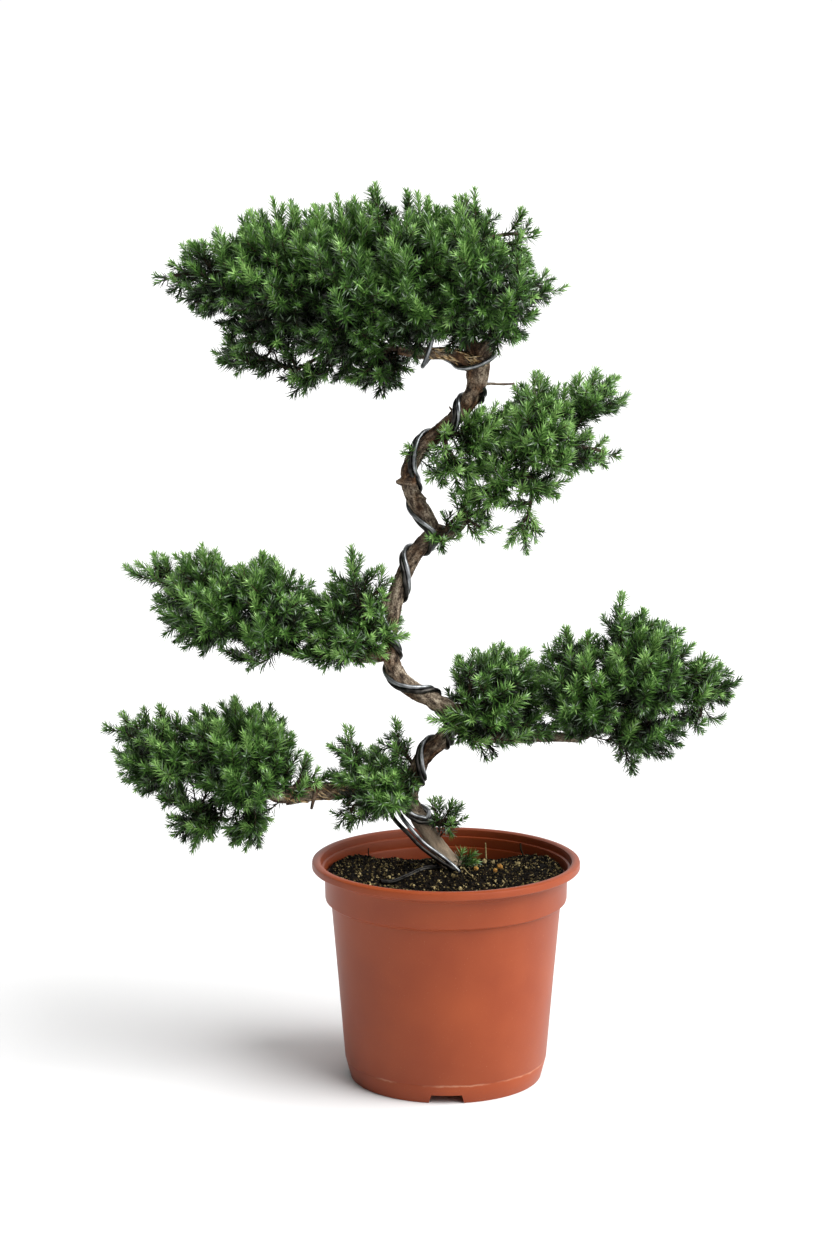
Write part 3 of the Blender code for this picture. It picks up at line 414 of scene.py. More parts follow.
wires = {
    "radius": 1.25,
    "crossings": (12, 39, 75, 102, 140, 173, 209, 236, 281, 316, 338),  # mm along the trunk, at the front
    "steeper": 0.55,  # how much steeper they run at the front than on average
    "turns": (0.86, 9.9),
    "knots": 127,
    "pairGap": 2.65,
    "bite": 0.15,  # how deep they press into the bark
    "feet": {  # the loose turn round the foot, up from the compost
        "bright": (
            (8.8, 3.6, 114.6), (5.6, 4.6, 119.6), (-2.6, 4.6, 126.6), (-12.3, 5, 134), (-18.8, 7, 140.8),
            (-24.3, 10.5, 146.8), (-27, 16.5, 150.8), (-24, 22, 153), (-16.5, 23, 152.5), (-10, 18.6, 150)),
        "dark": (
            (11.6, 1.6, 112.6), (7.6, 2.6, 117), (-3.4, 3.2, 124), (-14, 4.2, 131.9), (-21, 6.6, 138.8),
            (-28.6, 12, 145.4), (-31, 18.5, 149), (-27, 24, 151), (-17, 25, 150), (-9, 19.6, 146.8)),
    },
    "crown": ((14, 7.6, 407), (20, 7, 410), (24.6, 3.4, 411.6), (25.8, -2.6, 411), (21.8, -6.9, 408.6),
              (15.9, -8.2, 406.2), (9.8, -6.6, 404.8), (5.4, -2.6, 405.2), (2.4, 3, 407.4), (-3, 4.6, 410),
              (-8.4, 4, 410.4), (-12.2, 1, 406.6), (-13.4, -4, 405.6), (-12, -7.6, 408.8), (-10, -9, 414.5),
              (-8.2, -9.6, 420.6), (-6.6, -9.2, 427), (-5.2, -8, 432.5), (-3.5, -4, 437)),
    "tail": ((-3, 10), (-12, 8), (-22, 0), (-30, -8), (-37, -14)),
    "tailLift": -0.5,
}
soil = {
    "edge": 109.5, "sideRise": 9.5, "top": 117.5, "flat": 16, "mound": 46, "radius": 66.6, "depth": 10,
    "lump": 1.6, "grain": 0.7, "rings": 58, "around": 150,
    "loose": {  # how many, sizes, how much small ones prevail, flatness, share of each colour
        "crumbs": (9500, (0.4, 1.02), 1.3, (0.6, 1.1),
                   {"black": 0.5, "brown": 0.27, "tan": 0.17, "grit": 0.06}),
        "chips": (240, (0.8, 1.8), 1, (0.25, 1.0), {"black": 0.4, "brown": 0.4, "tan": 0.2}),
    },
    "pebbles": {  # x, y, radius
        "orange": ((17, 9, 1.7), (31, 12.5, 2.2), (28, 5, 1.5)),
        "grit": ((22, 21, 1.8), (27, 21, 1.5), (42, 23, 1.4), (-32, -1, 1.2), (-49, -4, 1.2), (-7, -16, 1.2),
                 (8, -16, 1.4)),
    },
    "litter": {  # colour, then x, y, z of both ends and the radius of each bit of twig
        "pale": ("grit", ((23.5, 48, 110, 23.5, 48, 123.5, 0.6), (10.2, 8.7, 118.6, 15.3, -5.3, 117, 0.4))),
        "dark": ("brown", ((43.8, 45, 124, 47.6, 43.4, 115, 0.6), (-43.4, 40, 114, -44.8, 45, 121, 0.5))),
    },
}


def smoothRise(t):
    t = min(1.0, max(0.0, t))
    return t * t * (3 - 2 * t)


def moundHeight(x, y):  # mm: a mound round the trunk, heaped again against the pot's left and right
    away = math.hypot(x - trunk["line"][0][0], y - trunk["line"][0][1])
    out = math.hypot(x, y)
    sideways = smoothRise((abs(x) / max(out, 1) - 0.34) / 0.61) * smoothRise(out / soil["radius"])
    edge = soil["edge"] + soil["sideRise"] * sideways
    sunk = smoothRise((away - soil["flat"]) / (soil["mound"] - soil["flat"]))
    return soil["top"] - (soil["top"] - edge) * sunk


def coilKnots(line, radii, paired):  # a left-hand coil in mm, from its first turn to its last
    along = lengthAlong(line) / mm
    tangents, _, _ = sideFrames(line)
    marks, steeper = wires["crossings"], wires["steeper"]
    knots = []
    for turn in np.linspace(*wires["turns"], wires["knots"]):
        low = min(len(marks) - 2, math.floor(turn))
        rise = marks[low + 1] - marks[low]
        angle = math.tau * turn
        s = marks[low] + rise * (turn - low) + steeper * rise * math.sin(angle) / math.tau
        reach = np.interp(s, along, radii) / mm + wires["radius"] - wires["bite"]
        if paired:  # as far below the first wire as lets the two touch
            slope = rise * (1 + steeper * math.cos(angle)) / (math.tau * reach)
            s -= wires["pairGap"] * math.hypot(1, slope)
        s = np.clip(s, 0, along[-1])
        tangent = unit(rowAt(s, along, tangents))
        front = unit(np.array((0, -1, 0)) + tangent * tangent[1])
        knots.append(rowAt(s, along, line) / mm + between(angle, front, np.cross(front, tangent)) * reach)
    return knots


def wireMaterial(name, light, dull, rough):
    # annealed bonsai wire: bare aluminium gone grey with a satin drawn surface, and an older one nearly black
    return mottledMaterial(name, rough, 0.5, 5, 5, ((0.38, dull), (0.6, light)), (0.12, 0.2), Metallic=1.0)


def makeWire(name, points, material, slot):
    line, _ = smoothLine(points, 1.1)
    curve = bpy.data.curves.new(name + "_metal", "CURVE")
    curve.dimensions = "3D"
    curve.bevel_depth = wires["radius"] * mm
    curve.bevel_resolution = 3
    curve.use_fill_caps = True
    spline = curve.splines.new("POLY")
    spline.points.add(len(line) - 1)
    for point, co in zip(spline.points, line):
        point.co = (*co, 1.0)
    makeActive(addObject(curve.name, curve))
    bpy.ops.object.convert(target="MESH")
    wire = bpy.context.object
    bpy.ops.object.shade_smooth_by_angle(angle=math.radians(50))
    wire.data.materials.append(material)
    settle(wire, slot, name)
    return line


def makeWires():
    bright = wireMaterial("aluminium_wire", "#9c9fa1", "#5f6163", 0.38), "wire"
    dark = wireMaterial("weathered_aluminium_wire", "#44423f", "#1b1a19", 0.42), "dark_wire"
    first, second = (coilKnots(trunkLine, trunkRadii, paired) for paired in (False, True))
    tail = [(x, y, moundHeight(x, y) + wires["radius"] + wires["tailLift"]) for x, y in wires["tail"]]
    return [makeWire("wire_bright", [*wires["feet"]["bright"], *first], *bright),
            makeWire("wire_dark", [*wires["feet"]["dark"], *second], *dark),
            makeWire("wire_crown", wires["crown"], *bright), makeWire("wire_tail", tail, *dark)]


wireLines = makeWires()
print("wires are wound")


# Foliage: the masses by pad. Each has its stem's foot, a bough's tip or a point on the trunk, and rounded
# lobes: the middle's x, y, z and half the width, depth and height in mm.

pads = {  # seed, how much paler or darker the pad's needles are painted as a whole (painted light for the light the pad gets), spacing of the tips against other pads, masses
    "crown": (11, -0.06, 1, {
        "crown_left": ("bough_crown_left", (
            (-60, -2, 449, 36, 56, 49), (-95, 0, 449, 34, 46, 47), (-125, 0, 454, 27, 30, 25),
            (-150, -2, 455, 9, 9, 7), (-84, -6, 403, 16, 18, 12), (-115, -3, 413, 12, 16, 11),
            (-100, -6, 412, 16, 16, 10))),
        "crown_top": ("bough_crown_middle", (
            (-22, 5, 454, 34, 60, 46), (-39, 2, 488, 10, 15, 15), (-38, -4, 404, 17, 20, 13),
            (-46, -9, 417, 15, 15, 10))),
        "crown_right": ("bough_crown_right", (
            (8, 0, 456, 27, 54, 41), (33, 0, 446, 18, 38, 29), (15, 0, 489, 8, 12, 12),
            (40, 0, 478, 9, 12, 12), (54, 0, 449, 11, 14, 8), (28, -8, 424, 11, 14, 10),
            (1, -12, 425, 9, 8, 7))),
    }),
    "upper_right": (21, 0.25, 0.86, {
        "upper_right": ("bough_upper_right", (
            (52, 0, 373, 22, 28, 27), (68, 0, 360, 19, 24, 14), (82, 2, 389, 17, 18, 13),
            (50, 0, 342, 16, 18, 13), (44, -4, 314, 8, 10, 11), (41, -3, 329, 9, 9, 9),
            (87, 0, 358, 8, 10, 7), (30, -4, 350, 12, 14, 15), (20, -6, 336, 13, 12, 14),
            (48, 0, 392, 10, 12, 9))),
        "trunk_upper": ((-6, 3, 369), (
            (21, -4, 369, 13, 16, 20), (0, -8, 362, 8, 9, 10), (6, -8, 350, 12, 11, 11),
            (-3, -6, 347, 8, 8, 6))),
        "elbow": ((-8, 6, 312), (
            (-2, -6, 311, 8, 8, 7), (7, -6, 324, 9, 9, 11), (19, -5, 316, 10, 8, 7), (12, -4, 334, 9, 8, 9))),
    }),
    "left": (41, 0, 1, {
        "left_outer": ("bough_left", (
            (-103, 0, 271, 30, 42, 28), (-136, 0, 275, 26, 42, 30), (-163, 0, 293, 15, 14, 7),
            (-110, -4, 246, 13, 15, 9))),
        "left_inner": ((-30, -3, 259), (
            (-56, 8, 261, 30, 40, 22), (-60, -10, 250, 26, 20, 11), (-53, 4, 290, 11, 14, 13),
            (-36, 2, 280, 8, 9, 12))),
    }),
    "right": (51, -0.05, 1, {
        "right_inner": ((4, -2, 214), (
            (31, 6, 219, 29, 40, 28), (22, -10, 200, 17, 15, 13), (45, -10, 205, 18, 18, 9),
            (15, 0, 234, 11, 14, 12))),
        "right_outer": ("bough_right", (
            (80, 0, 226, 29, 44, 30), (111, 0, 237, 28, 46, 30), (113, 2, 203, 24, 34, 18),
            (144, 0, 229, 20, 24, 14), (97, 0, 265, 9, 12, 13), (68, 0, 247, 12, 16, 11),
            (143, 0, 208, 12, 13, 8), (106, -2, 187, 9, 12, 10))),
    }),
    "lower_left": (61, 0, 1, {
        "lower_left_outer": ("bough_lower_left", (
            (-119, 0, 187, 36, 48, 31), (-160, 0, 188, 26, 35, 25), (-143, -3, 151, 13, 20, 18),
            (-113, -2, 150, 13, 18, 17), (-159, -2, 166, 10, 14, 9), (-181, 0, 203, 10, 12, 7),
            (-79, -2, 175, 11, 14, 11))),
        "lower_left_inner": ((-17, 8, 177), (
            (-41, 6, 169, 27, 38, 20), (-57, 4, 190, 8, 12, 11), (-29, 4, 193, 8, 12, 12),
            (-54, 0, 153, 10, 12, 9))),
        "trunk_foot": ((-12, 14, 140), ((3, 8, 148, 8, 8, 9), (-6, 9, 150, 6, 7, 8))),
    }),
}
masses = {name: mass for pad in pads.values() for name, mass in pad[3].items()}
sprigs = {  # single small shoots by pad: x, y, z of the foot and of the tip
    "lower_left": (
        (5.9, 14.4, 116.5, 15.6, 13.8, 125), (5.9, 14.4, 116.5, 9.4, 13, 126.6),
        (6.5, 13.8, 117, 17, 12.4, 121), (-3.6, 14, 135, 8.4, 10, 154), (-4, 14, 137, -3.2, 10, 157)),
    "left": (
        (-46, -9, 251, -29.8, -13, 262), (-42, -10, 253, -23.7, -13, 256.8), (-47, -9, 251, -34.8, -12, 246),
        (-53, -8, 251, -41.5, -10, 242), (-45, -9, 254, -36.4, -12, 270)),
    "right": (
        (18, -8, 206, -8, -12, 209.6), (20, -8, 202.6, -1.4, -12, 203.8), (21, -8, 207, 3.1, -13, 213.7),
        (22, -8, 200, 8.7, -11, 199)),
    "upper_right": (
        (-14, 2, 356, -21, -3, 361), (-15, 2, 353, -23, 0, 357), (-15, 1, 354, -2, -5, 343),
        (-14, 1, 357, 0, -5, 350), (-12, 1, 360, -5, -6, 352), (39, -3, 335, 49.5, -4, 317),
        (48.5, -4, 321, 34.5, -4, 307)),
}
grow = {
    "stemRadius": 1.7, "hubRadius": 1.3, "twigRadius": 0.9, "shootRadius": 0.55, "shootTip": 0.3,
    "forkSpacing": 16, "forkDepth": (0.2, 0.45), "slant": 0.35,
    "layers": (((0.86, 0.97), 9.4), ((0.64, 0.8), 10.8), ((0.4, 0.58), 15.0)),  # depths, spacing of tips
    "clumpSize": 22, "clumpDepth": 0.27,
    "plumeSlant": 1.2, "shortest": 6.5, "leafShare": 0.88, "longestLeaf": 38,
    "fan": 0.72,  # how far back toward its root a lobe's plumes spread from
    "flat": 0.25,  # how much of their way to the front or back they keep as they turn up to the light
    "upward": 0.5, "stray": 0.09, "turned": 0.62,
    "sideShoots": 2, "sideLength": (9, 15), "sideAngle": 27, "sidePlaces": (0.36, 0.74),
    "reach": 1.05, "limbGap": 1.2, "lowSkipped": 0.45,
}
needle = {
    "whorlStep": 1.42, "perWhorl": 5, "length": 8.4, "halfWidth": 0.45, "thickness": 0.36, "widest": 0.36,
    "towardTip": 0.8,  # under 1 the whorls crowd toward the tip
    "tilt": ((0, 0.3, 0.7, 0.9, 1), (60, 52, 43, 38, 27)),
    "lengthShare": ((0, 0.2, 0.7, 0.9, 1), (0.8, 1, 1, 0.85, 0.62)),
    "paleShare": 0.05,
}
tints = {  # needles are painted darker the deeper they sit in the pad (painted shade) and paler where their shoot faces up (painted light); toward the shoot tips they are paler too, partly a fresher young green and partly painted light
    "shade": ("#182a0a", "#0c1606"),
    "mid": ("#3d6126", "#254215"),
    "fresh": ("#658f42", "#456d2b"),
    "tip": ("#96bd6c", "#6d974c"),
    "pale": ("#a9bba4", "#7d937a"),
}
tintFrom = (1.92, 2.3, 2.66)  # how brightly a needle's place is painted, in painted light and shade, for mid, fresh and tip


# juniper needle: a thin waxy skin over soft green, so every needle has a low broad sheen of its own
needleFinishes = {
    tint: mottledMaterial("juniper_needle_" + tint, 0.42, 0.5, 3.2, 2, ((0.38, dark), (0.62, light)))
    for tint, (light, dark) in tints.items()
}
# young juniper wood: a thin red-brown bark that peels in fine strips
twigFinish = mottledMaterial("juniper_twig", 0.8, 0.25, 3, 4,
                             ((0.35, "#1f1710"), (0.55, "#403225"), (0.7, "#64574a")))


def lobesOf(names):
    rows = np.concatenate([np.array(masses[name][1], float) for name in names]) * mm
    return rows[:, :3], rows[:, 3:]


def reachShare(lobes, points):  # 0 in the middle of the nearest lobe, 1 at its surface
    centres, halves = lobes
    return lengthOf((points[:, None] - centres) / halves).min(1)


limbs = [(trunkLine, trunkRadii), *boughLimbs]
limbs += [(line, np.full(len(line), wires["radius"] * mm)) for line in wireLines]
limbs = [(line[::3], radii[::3]) for line, radii in limbs]
limbStarts = np.concatenate([line[:-1] for line, _ in limbs])
limbSpans = np.concatenate([np.diff(line, axis=0) for line, _ in limbs])
limbRadii = np.concatenate([(radii[:-1] + radii[1:]) / 2 for _, radii in limbs])


def limbClearance(points):
    found = []
    for some in np.array_split(points, len(points) // 1500 + 1):
        away = some[:, None] - limbStarts
        t = np.clip((away * limbSpans).sum(2) / (limbSpans**2).sum(1), 0, 1)
        found.append((lengthOf(away - t[..., None] * limbSpans) - limbRadii).min(1))
    return np.concatenate(found)


def bend(start, middle, end, t):  # a quadratic curve
    t = np.asarray(t)[..., None]
    return start * (1 - t) ** 2 + 2 * middle * t * (1 - t) + end * t**2


def aside(a, b, c, t, turn):  # a place on each such curve, its heading and a direction square to it
    tangent = unit((b - a) * (1 - t)[:, None] + (c - b) * t[:, None])
    across = unit(np.cross(tangent, (0.31, 0.22, 0.93)))
    return bend(a, b, c, t), tangent, between(turn, across, np.cross(tangent, across))


def branchPoint(starts, spans, goal, slant):  # where on the twigs a shoot to goal leaves, at a slant
    lengths = lengthOf(spans)
    share = ((goal - starts) * spans).sum(1) / lengths**2
    gaps = lengthOf(starts + np.clip(share, 0, 1)[:, None] * spans - goal)
    best = int(np.argmin(gaps))
    back = share[best] * lengths[best] - slant * gaps[best]
    while back < 0 and best > 0 and np.allclose(starts[best - 1] + spans[best - 1], starts[best]):
        best -= 1
        back += lengths[best]
    return starts[best] + np.clip(back / lengths[best], 0.02, 0.98) * spans[best]


def spreadPoints(rng, own, depths, spacing, taken):
    # points at these depths of the mass's own lobes, evenly spaced, not buried in another lobe of the plant
    centres, halves = lobesOf([own])
    area = (halves * np.roll(halves, 1, axis=1)).sum(1)
    spacing = spacing * mm
    tries = int(area.sum() * 4.2 / spacing**2 * 9)
    pick = rng.choice(len(area), tries, p=area / area.sum())
    way = unit(rng.normal(size=(tries, 3)))
    full = centres[pick] + halves[pick] * way
    clumps = np.array([noise.noise(Vector(point / (grow["clumpSize"] * mm))) for point in full])
    swell = 1.03 - grow["clumpDepth"] * np.clip(0.35 - 1.7 * clumps, 0, 1)
    points = centres[pick] + (full - centres[pick]) * (swell * rng.uniform(*depths, tries))[:, None]
    low = (way[:, 2] < -0.25) & (rng.random(tries) < grow["lowSkipped"])
    ownShare = reachShare((centres, halves), points)
    others = lobesOf(masses.keys() - {own})
    keep = ~low & (ownShare > (depths[0] - 0.06) * swell) & (ownShare < reachShare(others, points))
    keep &= limbClearance(points) > grow["limbGap"] * 2 * mm
    kept, found = np.reshape(taken, (-1, 3)), []
    for point, outward in zip(points[keep], unit(way[keep] / halves[pick][keep])):
        if ((kept - point) ** 2).sum(1).min(initial=1) > spacing**2:
            kept = np.vstack([kept, point])
            found.append((point, outward))
    return found


def growTwigs(rng, own):  # the mass's stem, its hubs and their forks
    centres, halves = lobesOf([own])
    start = masses[own][0]
    if isinstance(start, str):
        line, _ = boughTips[start]
        root, heading = line[-2], unit(line[-1] - line[-4])
    else:
        root = trunkLine[np.argmin(lengthOf(trunkLine - np.array(start) * mm))]
        heading = unit(centres[0] - root)
    starts, spans, tubes = [], [], []

    def addTwig(a, middle, b, rootRadius, tipRadius):
        path = bend(a, middle, b, np.linspace(0, 1, 7))
        tubes.append((path, np.linspace(rootRadius, tipRadius, 7) * mm))
        starts.extend(path[:-1])
        spans.extend(path[1:] - path[:-1])

    far = lengthOf(centres[0] - root)
    addTwig(root, root + heading * far * 0.5, centres[0], grow["stemRadius"], grow["hubRadius"])
    for centre in centres[1:]:
        node = branchPoint(np.array(starts), np.array(spans), centre, grow["slant"])
        sag = np.array((0, 0, 0.12 * lengthOf(centre - node)))
        addTwig(node, (node + centre) / 2 + sag, centre, grow["hubRadius"], grow["twigRadius"])
    forks = spreadPoints(rng, own, grow["forkDepth"], grow["forkSpacing"], [])
    for point, outward in sorted(forks, key=lambda fork: lengthOf(fork[0] - root)):
        node = branchPoint(np.array(starts), np.array(spans), point, grow["slant"])
        length = lengthOf(point - node)
        if length > 6 * mm:
            middle = (node + point) / 2 + (outward * 0.1 - np.array((0, 0, 0.12))) * length
            addTwig(node, middle, point, grow["twigRadius"], grow["shootRadius"])
    return root, np.array(starts), np.array(spans), tubes


def growPlumes(rng, names, own, root, starts, spans, closer):
    centres, halves = lobesOf([own])
    tips = []
    for centre, half in zip(centres, halves):  # the furthest tips of each lobe come first
        for way in ((-1, 0, 0), (1, 0, 0), (0, 0, 1), (0, -1, 0), (0, 1, 0), (0, 0, -1)):
            point = centre + half * way * 0.99
            if reachShare((centres, halves), point[None])[0] > 0.95:
                tips.append((point, np.array(way, float)))
    for depths, spacing in grow["layers"]:
        tips += spreadPoints(rng, own, depths, spacing * closer, [p for p, _ in tips])
    back = root - centres
    far = 1 / np.maximum(lengthOf(back / halves), 1e-9)
    feet = centres + back * np.minimum(1, grow["fan"] * far)[:, None]
    plumes = []
    for tip, outward in tips:
        node = branchPoint(starts, spans, tip, grow["plumeSlant"])
        length = lengthOf(tip - node)
        if length < grow["shortest"] * mm:
            continue
        foot = feet[np.argmin(lengthOf((tip - centres) / halves))]
        up, flat = (grow["upward"], grow["flat"]) if outward[2] > -0.45 else (-0.05, 0.6)
        heading = unit(tip - foot) * (1, flat, 1) + (0, 0, up) + rng.normal(size=3) * grow["stray"]
        plumes.append((node, tip - unit(heading) * length * grow["turned"], tip, outward))
    node, middle, tip, outward = (np.array(column) for column in zip(*plumes))
    bowed = reachShare(lobesOf(names), bend(node, middle, tip, 0.7)) > grow["reach"]
    middle[bowed] = (node[bowed] + tip[bowed]) / 2
    clear = [limbClearance(bend(node, middle, tip, t)) for t in (0.55, 0.8, 1.0)]
    keep = np.min(clear, axis=0) > grow["limbGap"] * mm
    return node[keep], middle[keep], tip[keep], outward[keep]


def addSideShoots(rng, names, node, middle, tip, outward):
    # every plume carries a few shorter shoots that lean forward from it, each on its own side
    rows = []
    length = lengthOf(tip - node)
    turned = rng.uniform(0, 6.28, len(tip))
    low, high = grow["sidePlaces"]
    for k in range(grow["sideShoots"]):
        t = low + (high - low) * (k + rng.uniform(0.1, 0.9, len(tip))) / grow["sideShoots"]
        at, tangent, side = aside(node, middle, tip, t, turned + k * 2.4 + rng.normal(0, 0.3, len(tip)))
        way = between(np.radians(grow["sideAngle"] * rng.normal(1, 0.15, len(tip))), tangent, side)
        reach = np.minimum(rng.uniform(*grow["sideLength"], len(tip)) * mm, length * 0.6)[:, None]
        end = at + (way + tangent * 0.35) / 1.3 * reach
        inside = reachShare(lobesOf(names), end) < grow["reach"]
        inside &= limbClearance(end) > grow["limbGap"] * mm
        rows.append((at[inside], (at + way * reach * 0.5)[inside], end[inside], outward[inside]))
    return [np.concatenate([row[i] for row in rows]) for i in range(4)]


def needleArrays(rng, node, middle, tip, leafShare):
    length = lengthOf(tip - node) / mm
    leaf = np.minimum(length * leafShare, grow["longestLeaf"])
    whorls = np.maximum(4, np.round(leaf / needle["whorlStep"])).astype(int)
    each = needle["perWhorl"]
    counts = whorls * each
    owner = np.repeat(np.arange(len(tip)), counts)
    order = np.arange(counts.sum()) - np.repeat(np.cumsum(counts) - counts, counts)
    whorl = order // each
    total = len(order)
    share = np.clip((whorl + rng.uniform(-0.3, 0.3, total)) / (whorls[owner] - 1), 0, 1)
    share = share ** needle["towardTip"]
    t = (1 - leaf / length)[owner] * (1 - share) + share
    turn = (2 * (order % each) + whorl) * math.pi / each
    turn = turn + rng.uniform(0, 6.28, len(tip))[owner] + rng.normal(0, 0.2, total)
    at, tangent, radial = aside(node[owner], middle[owner], tip[owner], t, turn)
    tilt = np.radians(np.interp(share, *needle["tilt"])) * rng.normal(1, 0.16, total)
    size = rng.uniform(0.86, 1.08, len(tip))[owner] * np.clip(length / 18, 0.8, 1)[owner]
    long = needle["length"] * np.interp(share, *needle["lengthShare"]) * size * rng.normal(1, 0.09, total) * mm
    heading = between(tilt, tangent, radial)
    wide = np.cross(radial, tangent)
    outer = np.cross(heading, wide)
    widest = at + heading * (long * needle["widest"])[:, None] - outer * needle["thickness"] * mm
    half = wide * needle["halfWidth"] * mm
    points = np.stack([at, at + heading * long[:, None], widest + half, widest - half], axis=1)
    return points, owner, share


def growPad(pad, seed, painted_light_offset, closer, names):
    rng = np.random.default_rng(seed)
    nodes = ["foliage_" + name for name in names]
    tubes, grown = [], []
    for own in names:
        root, starts, spans, someTubes = growTwigs(rng, own)
        plumes = growPlumes(rng, names, own, root, starts, spans, closer)
        sides = addSideShoots(rng, names, *plumes)
        tubes += someTubes
        own = lobesOf([own])
        for shoots, share in ((plumes, grow["leafShare"]), (sides, 0.94)):
            grown.append((*shoots, np.full(len(shoots[2]), share), reachShare(own, shoots[2])))
    if pad in sprigs:
        feet, tips = np.array(sprigs[pad]).reshape(-1, 2, 3).transpose(1, 0, 2) * mm
        up, ones = np.array((0, 0, 1.0)), np.ones(len(feet))
        grown.append((feet, (feet + tips) / 2 + up * mm, tips, np.outer(ones, up), ones * 0.95, ones))
    node, middle, tip, outward, leafShare, depth = (np.concatenate(column) for column in zip(*grown))
    points, owner, share = needleArrays(rng, node, middle, tip, leafShare)
    # painted light and shade: needles deep in the pad darker, shoots facing up paler, each pad lifted or darkened
    # as a whole
    bright = 1.7 * np.minimum(depth, 1) + 0.35 * outward[:, 2] + painted_light_offset + rng.normal(0, 0.2, len(tip))
    rank = bright[owner] + 0.95 * share + rng.normal(0, 0.16, len(owner))
    kinds = np.digitize(rank, tintFrom)
    kinds[rng.random(len(owner)) < needle["paleShare"]] = len(tintFrom) + 1
    corner = np.array(((0, 1, 2), (0, 3, 1), (2, 1, 3), (2, 3, 0)))
    for k, tint in enumerate(tints):
        some = points[kinds == k]
        faces = repeatFaces(corner, len(some), 4)
        piece = meshFromArrays(f"needles_{pad}_{tint}", some.reshape(-1, 3), faces, needleFinishes[tint])
        settle(piece, "needles", *nodes)
    paths = bend(node[:, None], middle[:, None], tip[:, None], np.linspace(0, 0.97, 4))
    thick = np.tile(np.linspace(grow["shootRadius"], grow["shootTip"], 4) * mm, (len(paths), 1))
    fine = manyTubes(paths, thick, 3)
    coarse = manyTubes([p for p, _ in tubes], [r for _, r in tubes], 6)
    joined = np.vstack([fine[0], coarse[0]]), np.vstack([fine[1], coarse[1] + len(fine[0])])
    piece = meshFromArrays(f"twigs_{pad}", *joined, twigFinish, smooth=True)
    settle(piece, "bark", *nodes)
    print(pad, "pad:", len(points), "needles,", len(tip), "shoots,", len(joined[1]), "triangles of twigs")


for pad, settings in pads.items():
    growPad(pad, *settings)


# Pot: a moulded 152 mm nursery pot, its wall raised ring by ring from the middle of the floor inside

pot = {
    "around": 128,
    "rings": (  # radius, height in mm: inside floor, inside wall, rim, lip, collar, body, foot, underside
        (40.4, 1.6), (42, 7.6), (54, 7.6), (55.5, 10.5), (63.5, 101.4), (67, 104.5), (67.3, 115.2),
        (67.6, 115.9), (68.7, 116.2), (68.9, 121.2), (69.2, 121.8), (70.4, 122.1), (70.8, 124.4),
        (71.3, 125.7), (72.3, 126.4), (73.2, 126.5), (74.8, 126.3), (75.7, 125.7), (76, 124.8), (76, 122.3),
        (75.6, 121.8), (71.2, 121.8), (70.6, 121.4), (70.3, 119.8), (69.8, 119.3), (69.1, 119), (68.8, 118.4),
        (68.6, 105), (68.3, 103.8), (67.5, 103.1), (66.1, 102.6), (65.4, 102), (65.1, 101), (61.3, 57),
        (57.6, 11.7), (57.1, 10.9), (57.2, 10.2), (54.8, 0.7), (54.4, 0.1), (53.9, 0), (52, 0), (51.5, 0.4),
        (51.5, 6), (43.6, 6), (42.1, 0.3), (41.6, 0),
    ),
    "notch": {"away": 53.15, "deep": 9.7, "bottom": 21, "top": 17, "height": 5},
    "drain": {"radius": 3.5, "count": 4, "away": 46.75, "depth": 4},
}


def makePotMaterial():
    # moulded polypropylene coloured like terracotta: satin, a little waxy, with dust specks and a scuffed foot
    made, tree, place = startMaterial("terracotta_polypropylene", 0.44, 0.3, IOR=1.49)
    base = addRamp(tree, addNoise(tree, place, 35, 4), ((0.3, "#86391a"), (0.7, "#934320")))
    dust = addRamp(tree, addNoise(tree, place, 0.8, 2), ((0.68, "#000000"), (0.78, "#8f8f8f")))
    dusty = addMix(tree, dust, base, hexToLinear("#c08762"))
    scuffs = addNoise(tree, place, 5, 5)
    height = addNode(tree, "SeparateXYZ", "Z", place)
    wobble = addMath(tree, "MULTIPLY_ADD", scuffs, 2.2 * mm, 9.6 * mm)  # a scuffed line round the foot
    off = addMath(tree, "ABSOLUTE", addMath(tree, "SUBTRACT", height, wobble))
    band = addRange(tree, off, 0, 0.8 * mm, 1, 0)
    patches = addRange(tree, addNoise(tree, place, 16, 3), 0.42, 0.66, 0, 0.55)
    paled = addMix(tree, addMath(tree, "MULTIPLY", band, patches), dusty, hexToLinear("#c9977a"))
    dress(tree, paled, scuffs, 0.1, 0.25)
    return made


def makePot():
    radius, height = pot["rings"][0]
    bpy.ops.mesh.primitive_circle_add(vertices=pot["around"], radius=radius * mm, location=(0, 0, height * mm))
    piece = bpy.context.object
    piece.name = "pot_shell"
    bpy.ops.object.transform_apply(location=True)
    bpy.ops.object.mode_set(mode="EDIT")
    bpy.ops.mesh.select_all(action="SELECT")
    for nextRadius, nextHeight in pot["rings"][1:]:
        bpy.ops.mesh.extrude_region_move(TRANSFORM_OT_translate={"value": (0, 0, (nextHeight - height) * mm)})
        wider = nextRadius / radius
        bpy.ops.transform.resize(value=(wider, wider, 1), center_override=(0, 0, 0))
        radius, height = nextRadius, nextHeight
    bpy.ops.mesh.select_all(action="SELECT")
    bpy.ops.mesh.fill_holes(sides=0)
    bpy.ops.mesh.normals_make_consistent(inside=False)
    bpy.ops.object.mode_set(mode="OBJECT")
    return piece


def cutFrom(piece, cutter):
    makeActive(piece)
    boolean = piece.modifiers.new("cut", "BOOLEAN")
    boolean.operation = "DIFFERENCE"
    boolean.object = cutter
    boolean.solver = "EXACT"
    bpy.ops.object.modifier_apply(modifier=boolean.name)
    bpy.data.objects.remove(cutter)


